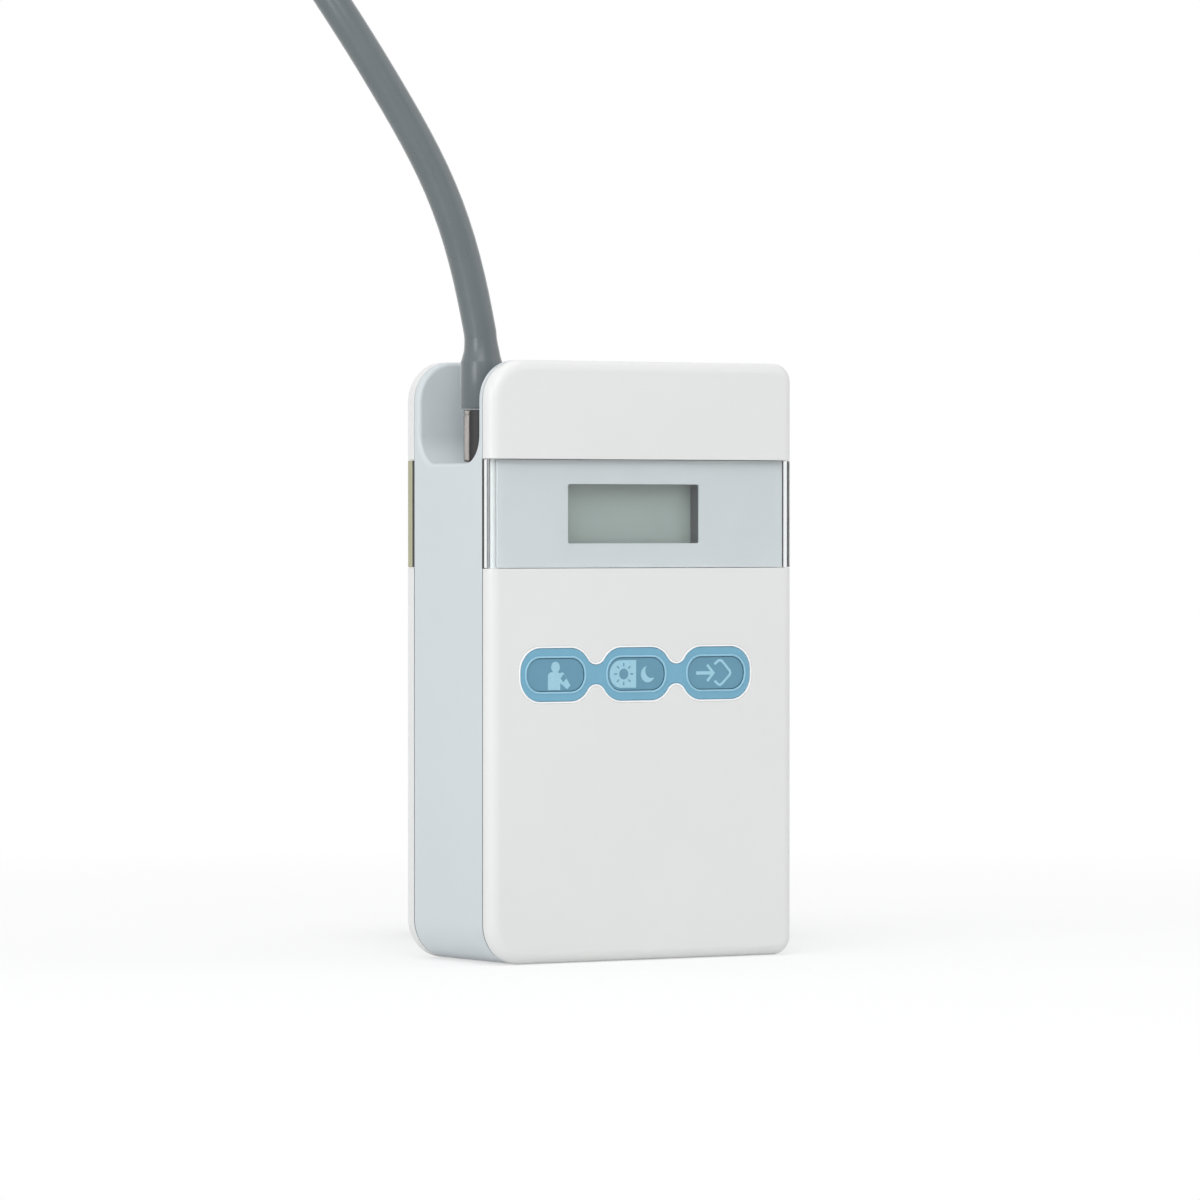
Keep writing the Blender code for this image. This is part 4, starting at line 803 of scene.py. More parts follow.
FINISHES: dict[Slot, Finish] = {
    Slot.SHELL: MouldedPlastic((226, 227, 226), 0.34),
    Slot.BAND: MouldedPlastic((205, 212, 216), 0.38),
    Slot.WINDOW: ClearPlastic((244, 247, 248)),
    Slot.REAR_WINDOW: ClearPlastic((206, 204, 172), 0.06, haze=0.6),
    Slot.PANEL: MouldedPlastic((216, 219, 220), 0.42, mottle=0.008),
    Slot.DARK: MouldedPlastic((58, 61, 63), 0.5),
    Slot.DISPLAY: DisplayGlass((162, 174, 167)),
    Slot.CONTACT_RUBBER: SoftRubber((70, 66, 68), 0.7),
    Slot.KEYPAD: SoftRubber((113, 170, 196), 0.44),
    Slot.KEY: SoftRubber((96, 147, 171), 0.46),
    Slot.BOARD: CircuitBoard((34, 82, 54)),
    Slot.BLACK: MouldedPlastic((28, 28, 30), 0.45, mottle=0.06),
    Slot.STEEL: ToolMarkedMetal((178, 180, 182), 0.3),
    Slot.NICKEL: ToolMarkedMetal(NICKEL, 0.24, Lay.ROUND_Z),
    Slot.GREY: MouldedPlastic((196, 200, 202), 0.4),
    Slot.CELL: CellSleeve(SLEEVE, 1),
    Slot.BLOCK: MouldedPlastic((214, 212, 204), 0.5),
    Slot.SILICONE: SoftRubber((222, 220, 214), 0.38),
    Slot.SEAL: SoftRubber((40, 40, 42), 0.7),
    Slot.HOSE: HoseRubber((97, 105, 108), 0.28),
    Slot.STRAP: WovenStrap((44, 46, 50)),
}


MADE: dict[str, bpy.types.Material] = {}


def material_of(name: str, finish: Finish) -> bpy.types.Material:
    """The material of this name, made from its finish when it is first asked for."""
    if name not in MADE:
        MADE[name] = finish.material(name)
    return MADE[name]


def slot_material(slot: Slot) -> bpy.types.Material:
    """The material that all pieces of a slot share."""
    return material_of(slot.value, FINISHES[slot])


def show(
    name: str, mesh: Mesh, slot: Slot, stands_for: Sequence[str] = (), body: str = "case",
    finish: Finish | None = None,
) -> bpy.types.Object:
    """Puts a finished piece in the scene.

    Args:
        name: The piece's name.
        mesh: Its finished mesh, with its place in it.
        slot: The record's slot that its finish comes from.
        stands_for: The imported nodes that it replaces.
        body: The body that it rides.
        finish: A finish of its own, where the slot's isn't right for it.

    Returns:
        The piece.
    """
    mesh.name = name
    mesh.materials.clear()
    mesh.materials.append(material_of(name, finish) if finish else slot_material(slot))
    piece = link(name, mesh)
    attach(piece, body)
    if stands_for:
        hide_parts(*stands_for)
    log.info("%s: %d faces, rides %s", name, len(mesh.polygons), body)
    return piece


def refine(node: str, slot: Slot, width: float = 0.0002) -> None:
    """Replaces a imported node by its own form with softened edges.

    Args:
        node: The node's name.
        slot: Its slot in the record.
        width: How wide its rounded edges are.
    """
    form = bmesh.new()
    form.from_mesh(bpy.data.objects[node].data)
    bmesh.ops.remove_doubles(form, verts=form.verts, dist=MERGE / 2)
    show(f"{node}_shaped", softened(form, width), slot, [node])


# Geometry Nodes

class Recipe(Tree):
    """A Geometry Nodes tree with named inputs, which makes what repeats or follows a path."""

    KINDS: dict[type, str] = {
        int: "NodeSocketInt", float: "NodeSocketFloat", tuple: "NodeSocketVector",
        bpy.types.Object: "NodeSocketObject", bpy.types.Material: "NodeSocketMaterial",
    }

    def __init__(self, name: str) -> None:
        """Starts a tree of this name."""
        super().__init__(bpy.data.node_groups.new(name, "GeometryNodeTree"))
        for way in ("INPUT", "OUTPUT"):
            self.tree.interface.new_socket("Geometry", in_out=way, socket_type="NodeSocketGeometry")
        self.start = self.tree.nodes.new("NodeGroupInput")
        self.end = self.tree.nodes.new("NodeGroupOutput")
        self.values: dict[str, Any] = {}

    def size(self, name: str, value: Any) -> Socket:
        """Adds a named input, and gives the socket that holds it inside the tree.

        Args:
            name: The input's name.
            value: Its value: a number, a whole number, three numbers, an object or a material.

        Returns:
            The socket.
        """
        self.tree.interface.new_socket(name, in_out="INPUT", socket_type=self.KINDS[type(value)])
        self.values[name] = value
        return self.start.outputs[name]

    def run(
        self, result: Socket, material: bpy.types.Material, points: Sequence[Spot],
        shares: Sequence[float] = (),
    ) -> Mesh:
        """Ends the tree, runs it on some points, and gives the plain mesh.

        Args:
            result: The geometry that the tree has made.
            material: The material for all of it.
            points: The points that it works from.
            shares: A share for each point, which also joins the points into one open line.

        Returns:
            The mesh, with its instances made real.
        """
        real = self.add("GeometryNodeRealizeInstances", {"Geometry": result})
        values = {"Geometry": real.outputs[0], "Material": self.size("Finish", material)}
        self.feed(self.end, 0, self.add("GeometryNodeSetMaterial", values).outputs[0])
        guide = bpy.data.meshes.new("guide")
        edges = [(i, i + 1) for i in range(len(shares) - 1)]
        guide.from_pydata([tuple(point) for point in points], edges, [])
        if shares:
            guide.attributes.new("share", "FLOAT", "POINT").data.foreach_set("value", shares)
        carrier = link("guide", guide)
        step = carrier.modifiers.new(self.tree.name, "NODES")
        step.node_group = self.tree
        for socket in self.tree.interface.items_tree:
            if socket.in_out == "INPUT" and socket.name in self.values:
                step[socket.identifier] = self.values[socket.name]
        mesh = evaluated(carrier)
        remove(carrier)
        return mesh


def repeated(
    name: str, form: Form | Mesh, points: Sequence[Spot], slot: Slot,
    spin: Spot = (0.0, 0.0, 0.0), seed: int = 0,
) -> Mesh:
    """Sets one form on every point by a Geometry Nodes tree.

    Args:
        name: The tree's name.
        form: The form, about its own origin.
        points: Where each copy goes.
        slot: The slot whose material it takes.
        spin: The most that a copy is turned at random, as angles about X, Y and Z.
        seed: The seed of that.

    Returns:
        One plain mesh of all the copies.
    """
    model = loose_object(form)
    recipe = Recipe(name)
    given = recipe.add("GeometryNodeObjectInfo", {"Object": recipe.size("Form", model)})
    limits = {0: (0.0, 0.0, 0.0), 1: recipe.size("Most Spin", spin), "Seed": recipe.size("Seed", seed)}
    turn = recipe.add("FunctionNodeRandomValue", limits, data_type="FLOAT_VECTOR")
    placed = recipe.add("GeometryNodeInstanceOnPoints", {
        "Points": recipe.start.outputs["Geometry"],
        "Instance": given.outputs["Geometry"],
        "Rotation": turn.outputs[0],
    })
    mesh = recipe.run(placed.outputs[0], slot_material(slot), points)
    remove(model)
    return mesh


def tube_mesh(
    name: str, points: Sequence[Spot], radius: float, sides: int, slot: Slot, shares: Sequence[float] = (),
) -> Mesh:
    """A round tube along a line, with a UV map of metres along it and its share of a turn round it.

    Args:
        name: The tree's name.
        points: The middles of the tube's rings.
        radius: The tube's radius.
        sides: How many facets it has round it.
        slot: The slot whose material it takes.
        shares: Each ring's share of the radius, where they differ.

    Returns:
        The tube's mesh, with closed ends.
    """
    recipe = Recipe(name)

    def noted(curve: Socket, reading: str, note: str) -> tuple[Socket, Socket]:
        """A curve that carries one of its spline's readings, and the socket that gives it later."""
        kept = recipe.add("GeometryNodeCaptureAttribute", {0: curve}, domain="POINT")
        kept.capture_items.new("FLOAT", note)
        recipe.feed(kept, note, recipe.add("GeometryNodeSplineParameter").outputs[reading])
        return kept.outputs[0], kept.outputs[note]

    line = recipe.add("GeometryNodeMeshToCurve", {"Mesh": recipe.start.outputs["Geometry"]})
    circle = recipe.add("GeometryNodeCurvePrimitiveCircle", {
        "Resolution": recipe.size("Sides", sides), "Radius": recipe.size("Radius", radius),
    })
    path, along = noted(line.outputs[0], "Length", "Along")
    section, share = noted(circle.outputs[0], "Factor", "Turn")
    width = recipe.add("GeometryNodeInputNamedAttribute", {"Name": "share"}, data_type="FLOAT").outputs[0]
    tube = recipe.add("GeometryNodeCurveToMesh", {
        "Curve": path, "Profile Curve": section, "Scale": width, "Fill Caps": True,
    })
    # The last strip runs on to a whole turn instead of back to none
    middle = recipe.add("GeometryNodeFieldOnDomain", {0: share}, domain="FACE", data_type="FLOAT").outputs[0]
    over = recipe.math("GREATER_THAN", recipe.math("SUBTRACT", middle, share), 0.25)
    flat = recipe.add("ShaderNodeCombineXYZ", {"X": along, "Y": recipe.math("ADD", share, over)})
    values = {"Geometry": tube.outputs[0], "Name": "UVMap", "Value": flat.outputs[0]}
    mapped = recipe.add("GeometryNodeStoreNamedAttribute", values, domain="CORNER", data_type="FLOAT2")
    smooth = recipe.add("GeometryNodeSetShadeSmooth", {"Geometry": mapped.outputs[0]})
    mesh = recipe.run(smooth.outputs[0], slot_material(slot), points, shares or [1.0] * len(points))
    mesh.set_sharp_from_angle(angle=math.radians(50))
    return mesh


# Lines of hoses and tubes

def distances(points: np.ndarray) -> np.ndarray:
    """How far along a line each of its points lies."""
    return np.concatenate([[0.0], np.cumsum(np.linalg.norm(np.diff(points, axis=0), axis=1))])


def sampled(points: np.ndarray, marks: Sequence[float]) -> np.ndarray:
    """The points of a line at these distances along it."""
    along = distances(points)
    return np.stack([np.interp(marks, along, points[:, axis]) for axis in range(3)], axis=1)


def smooth_line(
    start: Spot, route: Sequence[Spot], end: Spot, ways: tuple[Spot, Spot], lead: float, spacing: float,
) -> list[Vector]:
    """A smooth line from start to end through a route, with a short straight lead at each end.

    Args:
        start: Where it starts.
        route: The points that it passes through.
        end: Where it ends.
        ways: The way that it leaves its start, and the way that it meets its end.
        lead: The length of each straight lead.
        spacing: How far apart its points are.

    Returns:
        The points.
    """
    first, last = Vector(start), Vector(end)
    stops = np.array([list(p) for p in (first + lead * Vector(ways[0]), *route, last - lead * Vector(ways[1]))])
    chords = np.linalg.norm(np.diff(stops, axis=0), axis=1)
    slopes = np.gradient(stops, distances(stops), axis=0)
    slopes[0], slopes[-1] = ways
    t = (np.arange(24) / 24)[:, None]
    fine = np.concatenate([
        (2 * t**3 - 3 * t**2 + 1) * stops[i]
        + (t**3 - 2 * t**2 + t) * chord * slopes[i]
        + (3 * t**2 - 2 * t**3) * stops[i + 1]
        + (t**3 - t**2) * chord * slopes[i + 1]
        for i, chord in enumerate(chords)
    ] + [stops[-1:]])
    length = distances(fine)[-1]
    curve = sampled(fine, np.linspace(0, length, round(length / spacing) + 1))
    for _ in range(6):
        curve[2:-2] = (curve[1:-3] + 2 * curve[2:-2] + curve[3:-1]) / 4
    return [first, *map(Vector, curve), last]


# Sub-assemblies

@dataclass(frozen=True)
class Levels:
    """The case's outer sizes, and the levels and places that its sub-assemblies share."""

    gap: float = 0.0003
    past: float = 0.003
    half_width: float = 0.0385
    height: float = 0.128
    left_radius: float = 0.0085
    right_radius: float = 0.004
    least_radius: float = 0.0004
    corner_steps: int = 16
    front: float = -0.0175
    rear: float = 0.0175
    front_joint: float = -0.0142
    rear_joint: float = 0.0143
    edge_radius: float = 0.0025
    rear_edge_radius: float = 0.0012
    shell_wall: float = 0.002
    frame_wall: float = 0.0024
    window_low: float = 0.08385
    window_high: float = 0.107
    window_thickness: float = 0.0012
    window_recess: float = 0.0015
    panel_levels: Flat = (-0.016, -0.0155)
    front_recess: float = -0.0152
    face_x: float = -0.002
    display_half: Flat = (0.0166, 0.0063)
    display_collar: float = 0.0012
    scoop_floor: float = 0.1062
    scoop_half: float = 0.0122
    scoop_end: float = -0.0213
    scoop_wall: float = 0.0019
    socket_x: float = -0.0301
    board_front: float = -0.009
    button_middle: Flat = (-0.0046, 0.097)
    button_half: Flat = (0.0055, 0.0026)
    data_middle: Flat = (0.002, 0.0755)
    data_radius: float = 0.0047
    door_half: float = 0.0275
    door_height: float = 0.04
    door_inner: float = 0.0154
    door_corner: float = 0.003
    door_tongue: Flat = (0.0014, 0.0009)
    door_catch: Flat = (0.008, 0.0025)

    def outline(self, inset: float = 0.0) -> list[Flat]:
        """The case seen from the front, drawn in by an inset."""
        half, corners = self.half_width, (self.left_radius, self.right_radius)
        radii = tuple(max(radius - inset, self.least_radius) for radius in corners)
        return rounded(inset - half, half - inset, inset, self.height - inset, radii, self.corner_steps)

    def wrap(
        self, face: float, joint: float, inset: float, depth: float, reach: float, steps: int = 10,
    ) -> list[Flat]:
        """The section of a window seen from above, round the case's front or back from joint to joint.

        Args:
            face: The y of the case's face.
            joint: The y where the window ends.
            inset: How far its inner line is drawn in at the sides.
            depth: How far its inner line lies behind the face.
            reach: How far its outer line is moved out.
            steps: How many chords each corner has.

        Returns:
            The outline.
        """
        far, edge = abs(face - joint), self.edge(face)
        outer = [(self.half_width + reach, far)]
        outer += arc((self.half_width - edge, edge), edge + reach, 360, 270, steps)
        radius = max(edge - inset, self.least_radius)
        inner = arc((self.half_width - inset - radius, depth + radius), radius, 270, 360, steps)
        inner.append((self.half_width - inset, far))
        outer += [(-x, down) for x, down in reversed(outer)]
        inner = [(-x, down) for x, down in reversed(inner)] + inner
        return [(x, face - math.copysign(down, face * down)) for x, down in outer + inner]

    def edge(self, face: float) -> float:
        """The radius of the case's edge round its front or its back."""
        return self.edge_radius if face < 0 else self.rear_edge_radius

    def window_cutter(self, face: float, joint: float, depth: float) -> Form:
        """The recess that a window lies in, as a form to take away."""
        past = joint - math.copysign(self.past, face)
        section = self.wrap(face, past, self.window_recess, depth, self.past)
        return through(at_z, section, self.window_low, self.window_high)

    def sides(self, half: Flat, grow: float = 0.0) -> tuple[float, float, float, float]:
        """The left, right, lower and upper sides of a plate centred on the display, moved outwards."""
        x, z = self.face_x, (self.window_low + self.window_high) / 2
        return x - half[0] - grow, x + half[0] + grow, z - half[1] - grow, z + half[1] + grow

    def plate(self, half: Flat, start: float, end: float, grow: float = 0.0) -> Form:
        """A plate centred on the display between two levels of y, moved outwards."""
        left, right, low, high = self.sides(half, grow)
        return block((left, start, low), (right, end, high))

    def shell(self, face: float, joint: float, lip_wall: float = 0.0014, lip_reach: float = 0.0022) -> Form:
        """A shell's tray, from the middle of its inner face round its lip to its rounded outer face.

        Args:
            face: The y of the case's face.
            joint: The y where the shell meets the frame.
            lip_wall: How thick its lip is.
            lip_reach: How far its lip reaches in past the joint.

        Returns:
            The form.
        """
        way = math.copysign(1, face)
        outer_lip = self.frame_wall + self.gap
        inner_lip, lip = outer_lip + lip_wall, joint - way * lip_reach
        rings = [(inner_lip, face - way * self.shell_wall), (inner_lip, lip)]
        rings += [(outer_lip, lip), (outer_lip, joint), (0, joint)]
        edge = self.edge(face)
        rings += [(inset, face - way * (edge - out)) for inset, out in arc((edge, 0), edge, 180, 90, 10)]
        return skin(self.outline, rings)

    def scoop_relief(self, start: float, end: float) -> Form:
        """The room that a shell leaves round the scoop's walls."""
        reach = self.scoop_wall + self.gap
        return block(
            (-self.half_width - self.past, start, self.scoop_floor - reach),
            (self.scoop_end + reach, end, self.height + self.past),
        )

    def backing(self, start: float, end: float, inset: float = 0.0034, margin: float = 0.002) -> Form:
        """The thicker wall behind a window."""
        side = self.half_width - inset
        return block((-side, start, self.window_low - margin), (side, end, self.window_high + margin))

    def button_oval(self, grow: float = 0.0) -> list[Flat]:
        """The outline of the on and off button, moved outwards."""
        across, up = self.button_half
        return oval(self.button_middle, across + grow, up + grow, power=2.6)

    def door_outline(self, grow: float, low: float) -> list[Flat]:
        """The battery door seen from behind, moved outwards, from this level up."""
        half, high, corner = self.door_half + grow, self.door_height + grow, self.door_corner + grow
        outline = [(-half, low), (half, low)]
        outline += arc((half - corner, high - corner), corner, 0, 90, 10)
        return outline + arc((corner - half, high - corner), corner, 90, 180, 10)

    def door_rails(self, grow: float, low: float, high: float, foot: float) -> tuple[Form, Form]:
        """The door's side tongues and its catch.

        Args:
            grow: How far they are moved outwards.
            low: The level that the tongues start from.
            high: The level that the tongues end at.
            foot: The level that the catch starts from.

        Returns:
            The tongues as one block right across, and the catch.
        """
        start, end = self.door_inner - grow, self.door_inner + self.door_tongue[1] + grow
        reach, (half, up) = self.door_half + grow + self.door_tongue[0], self.door_catch
        top = self.door_height + up + grow
        return (
            block((-reach, start, low), (reach, end, high)),
            block((-half - grow, start, foot), (half + grow, end, top)),
        )


@dataclass(frozen=True)
class KeypadPlan:
    """Where the keypad's three ovals stand, and the one outline that their necks join them in."""

    centre_x: float = -0.002
    centre_z: float = 0.06125
    pitch: float = 0.0203
    oval_half: Flat = (0.0088, 0.00568)
    oval_radius: float = 0.005
    neck_half: float = 0.0021
    key_half: Flat = (0.00715, 0.0035)
    key_radius: float = 0.00325
    fit: float = 0.00006
    bead: float = 0.0004

    @property
    def places(self) -> list[float]:
        """The x of each key's middle."""
        return [self.centre_x + self.pitch * step for step in (-1, 0, 1)]

    def outline(self, grow: float = 0.0, steps: int = 12) -> list[Flat]:
        """The keypad's edge, in arcs that run into each other from ovals to necks.

        Args:
            grow: How far it is moved outwards.
            steps: How many chords each arc has.

        Returns:
            The outline, with as many points whatever it is moved by.
        """
        half, high = self.oval_half
        radius = self.oval_radius
        across, drop = self.pitch / 2 - half + radius, self.neck_half - high + radius
        hollow = (across**2 + drop**2 - radius**2) / (2 * (radius - drop))
        lean = math.degrees(math.atan2(drop + hollow, across))
        upper: list[Flat] = []
        for number, middle in enumerate(self.places):
            start, end = 180 if number == 0 else 180 - lean, 0 if number == 2 else lean
            upper += arc((middle - half + radius, high - radius), radius + grow, start, 90, steps)
            upper += arc((middle + half - radius, high - radius), radius + grow, 90, end, steps)
            if number < 2:
                neck = (middle + self.pitch / 2, self.neck_half + hollow)
                upper += arc(neck, hollow - grow, 180 + lean, 360 - lean, steps)[1:-1]
        return [(x, self.centre_z + z) for x, z in upper] + [(x, self.centre_z - z) for x, z in reversed(upper)]

    def key(self, x: float, grow: float = 0.0) -> list[Flat]:
        """A key's outline, moved outwards by a distance."""
        across, up = self.key_half[0] + grow, self.key_half[1] + grow
        corner = self.key_radius + grow
        return rounded(x - across, x + across, self.centre_z - up, self.centre_z + up, (corner, corner), 18)


@dataclass
class Case:
    """The two white shells on their pale middle frame, and the four screws that hold them together."""

    levels: Levels
    keypad: KeypadPlan
    screw_places: tuple[Flat, ...] = ((-0.0326, 0.01), (0.0326, 0.01), (0.0314, 0.121), (-0.0148, 0.121))
    boss_radius: float = 0.003
    boss_end: float = 0.0085
    pilot_radius: float = 0.0014
    pilot_depth: float = 0.0135
    well_radius: float = 0.0026
    well_wall: float = 0.0006
    well_start: float = 0.0088
    well_floor: float = 0.0104
    screw_run: float = 0.005
    backing: float = 0.002
    display_run: float = 0.008
    scoop_fillet: float = 0.006
    rim: float = 0.001
    socket_bore: Flat = (0.0046, 0.0065)
    socket_levels: tuple[float, ...] = (-0.0049, -0.0012, 0.003)
    data_run: float = 0.0084
    bay_half: float = 0.0268
    bay_levels: Flat = (0.00585, 0.03615)
    bay_floor: float = -0.0001
    bay_wall: float = 0.0014
    seat_margin: float = 0.0031
    seat_levels: Flat = (0.0034, 0.0442)

    def build(self) -> None:
        """Builds and dresses the case."""
        self.front_shell()
        self.middle_frame()
        self.rear_shell()
        self.screws()
        self.joint_seals()

    def joint_seals(self, depth: float = 0.00012, width: float = 0.0016, fit: float = 0.00003) -> None:
        """The two dark seals in the joint lines between the shells and the frame.

        Args:
            depth: How far they lie behind the case's outer face.
            width: How wide each seal is.
            fit: The room on either side of a seal.
        """
        at = self.levels
        reach, margin = at.half_width + at.past, 0.001
        for side, joint, way in (("front", at.front_joint, -1), ("rear", at.rear_joint, 1)):
            start, end = joint - way * fit, joint - way * (at.gap - fit)
            corners = ((depth, start), (depth, end), (depth + width, end), (depth + width, start))
            window = block((-reach, joint - margin, at.window_low), (reach, joint + margin, at.window_high))
            mesh = carved(
                skin(at.outline, corners, closed=True),
                (Cut.TAKE, at.scoop_relief(-at.rear_joint, at.rear_joint)),
                (Cut.TAKE, window),
            )
            show(f"{side}_joint_seal", softened(mesh, fit), Slot.SEAL)

    def bars(self, radius: float, start: float, length: float, facets: int = 48) -> Form:
        """A round bar on each screw's place from this y, towards the front where its length is negative."""
        way = (0, math.copysign(1, length), 0)
        return together([rod(radius, abs(length), (x, start, z), way, facets) for x, z in self.screw_places])

    def front_shell(self) -> None:
        """The front shell, with the recess for the window and the openings for the display and the keypad."""
        at = self.levels
        root, half = at.front + at.shell_wall, at.shell_wall / 2
        start, end = at.front - at.past, at.front + self.display_run
        mesh = carved(
            at.shell(at.front, at.front_joint),
            (Cut.ADD, at.backing(root - half, at.front_recess + self.backing)),
            (Cut.ADD, self.bars(self.boss_radius, root - half, self.boss_end - root + half)),
            (Cut.TAKE, at.window_cutter(at.front, at.front_joint, at.front_recess - at.front)),
            (Cut.TAKE, at.scoop_relief(at.front_joint, -at.front_joint)),
            (Cut.TAKE, self.keypad_opening(root + at.past)),
            (Cut.TAKE, at.plate(at.display_half, start, end, at.display_collar + at.gap)),
            (Cut.TAKE, self.bars(self.pilot_radius, self.boss_end + at.past, -self.pilot_depth, 24)),
        )
        show("front_shell_moulding", softened(mesh, 0.0002), Slot.SHELL, ["front_shell"])

    def keypad_opening(self, rear: float, lead: float = 0.00012, room: float = 0.00002) -> Form:
        """The keypad's opening, as a form to take away, which widens softly towards the front.

        Args:
            rear: The y where it ends behind the shell.
            lead: How wide and deep its softly widened front edge is.
            room: The room round the keypad's bead.

        Returns:
            The form.
        """
        fit, front = self.keypad.bead + room, self.levels.front
        rings = [(fit, rear), (fit, front + lead)]
        rings += [(fit + lead + across, front + lead + up) for across, up in arc((0, 0), lead, 180, 270, 5)][1:]
        return skin(self.keypad.outline, [*rings, (fit + lead, front - self.levels.past)])

    def middle_frame(self) -> None:
        """The middle frame, its top left corner moulded round the hose's scoop."""
        at = self.levels
        start, end = at.front_joint + at.gap, at.rear_joint - at.gap
        inset, inside = at.frame_wall, at.half_width - at.frame_wall - at.past
        step_x, step_z = at.scoop_end + at.scoop_wall, at.scoop_floor - at.scoop_wall
        cavity = at.outline(inset)[:3 * (at.corner_steps + 1)]
        cavity += [(step_x, at.height - inset), (step_x, step_z), (inset - at.half_width, step_z)]
        (bore, wide), (low, step, high) = self.socket_bore, self.socket_levels
        socket = [(0, low), (bore, low), (bore, step), (wide, step), (wide, high), (0, high)]
        mesh = self.round_rim(carved(through(at_y, at.outline(), start, end), (Cut.TAKE, self.scoop_cutter())))
        mesh = carved(
            mesh,
            (Cut.TAKE, through(at_y, cavity, start - at.past, end + at.past)),
            (Cut.TAKE, turned(socket, (at.socket_x, 0, at.scoop_floor), Z)),
            (Cut.TAKE, through(at_x, at.button_oval(at.gap), inside, at.half_width + at.past)),
            (Cut.TAKE, rod(at.data_radius + at.gap, self.data_run, (inside, *at.data_middle), X, 72)),
        )
        show("mid_frame_moulding", softened(mesh, 0.00018), Slot.BAND, ["mid_frame"])

    def scoop_cutter(self, steps: int = 14) -> Form:
        """A rounded trough, open to the left and the top, whose far end curves into its floor and sides.

        Args:
            steps: How many chords each of its curves has.

        Returns:
            The form to take away.
        """
        at = self.levels

        def trough(inset: float) -> list[Flat]:
            """The trough's section, drawn in by an inset."""
            radius = max(self.scoop_fillet - inset, at.least_radius)
            half, middle, high = at.scoop_half - inset, at.scoop_floor + inset + radius, at.height + at.past
            outline = arc((radius - half, middle), radius, 180, 270, steps)
            outline += arc((half - radius, middle), radius, 270, 360, steps)
            return [*outline, (half, high), (-half, high)]

        end = self.scoop_fillet - at.least_radius
        rings = [(0, -at.half_width - at.past)]
        rings += [(inset, at.scoop_end - end + along) for along, inset in arc((0, end), end, 270, 360, steps)]
        return skin(trough, rings, at_x)

    def round_rim(self, mesh: Mesh, near: float = 1e-4) -> Mesh:
        """The frame with the scoop's whole rim rounded off.

        Args:
            mesh: The frame.
            near: How far past the scoop an edge of its rim may lie.

        Returns:
            The new mesh.
        """
        at, form = self.levels, cleaned(as_form(mesh))
        rim = [
            edge for edge in form.edges
            if edge.calc_face_angle(0) > math.radians(35) and all(
                abs(vert.co.y) < at.scoop_half + near
                and vert.co.z > at.scoop_floor - near
                and vert.co.x < at.scoop_end + near
                for vert in edge.verts
            )
        ]
        bmesh.ops.bevel(
            form, geom=rim, offset=self.rim, offset_type="OFFSET", segments=4, profile=0.5, affect="EDGES",
            clamp_overlap=False, miter_outer="ARC",
        )
        return as_mesh(form)

    def rear_shell(self) -> None:
        """The rear shell, with its window recess, screw wells, battery bay and the door's opening."""
        at = self.levels
        inner, half = at.rear - at.shell_wall, at.shell_wall / 2
        (low, high), (seat_low, seat_high) = self.bay_levels, self.seat_levels
        seat, bay, wall = at.door_half + self.seat_margin, self.bay_half, self.bay_wall
        pilot, well, depth = self.pilot_radius, self.well_radius, at.rear - self.well_floor
        run = -depth - self.screw_run
        head = [(0, run), (pilot, run), (pilot, -depth), (well, -depth), (well, at.past), (0, at.past)]
        top, foot = at.door_height + at.gap, at.door_height - at.door_corner
        rails, catch = at.door_rails(at.gap, -at.past, top, foot)
        opening = at.door_outline(at.gap, -at.past)
        mesh = carved(
            at.shell(at.rear, at.rear_joint),
            (Cut.ADD, at.backing(at.rear - at.window_recess - self.backing, inner + half)),
            (Cut.ADD, self.bars(well + self.well_wall, self.well_start, inner - self.well_start)),
            (Cut.ADD, block((-seat, inner - self.backing, seat_low), (seat, inner + half, seat_high))),
            (Cut.ADD, block(
                (-bay - wall, self.bay_floor - wall, low - wall), (bay + wall, inner - half, high + wall),
            )),
            (Cut.TAKE, at.window_cutter(at.rear, at.rear_joint, at.window_recess)),
            (Cut.TAKE, at.scoop_relief(-at.rear_joint, at.rear_joint)),
            (Cut.TAKE, block((-bay, self.bay_floor, low), (bay, at.rear, high))),
            (Cut.TAKE, through(at_y, opening, at.door_inner - at.gap, at.rear + at.past)),
            (Cut.TAKE, rails),
            (Cut.TAKE, catch),
            (Cut.TAKE, together([turned(head, (x, at.rear, z), Y, 48) for x, z in self.screw_places])),
        )
        show("rear_shell_moulding", softened(mesh, 0.0002), Slot.SHELL, ["rear_shell"])

    def screws(
        self, head: Flat = (0.0023, 0.0017), shaft: Flat = (0.0011, 0.009), edge: float = 0.0003,
    ) -> None:
        """The four case screws, set on their places by one Geometry Nodes tree.

        Args:
            head: The head's radius and its height.
            shaft: The shaft's radius and its length.
            edge: How wide the head's bevel is, and half the width of its cross.
        """
        (radius, height), (thin, length) = head, shaft
        profile = [(0, -length), (thin, -length), (thin, 0), (radius, 0)]
        profile += [(radius, height - edge), (radius - edge, height), (0, height)]
        low, high, cross = height - 0.0008, height + edge, 0.00155
        mesh = carved(
            turned(profile, (0, 0, 0), Y, 48),
            (Cut.TAKE, block((-cross, low, -edge), (cross, high, edge))),
            (Cut.TAKE, block((-edge, low, -cross), (edge, high, cross))),
        )
        seat = self.well_floor + self.levels.gap
        spots = [(x, seat, z) for x, z in self.screw_places]
        mesh = repeated("case_screws", mesh, spots, Slot.STEEL, spin=(0.0, math.pi / 2, 0.0), seed=4)
        nodes = [f"case_screw_{number}" for number in (1, 2, 3, 4)]
        show("case_screws", softened(mesh, 0.00012), Slot.STEEL, nodes)


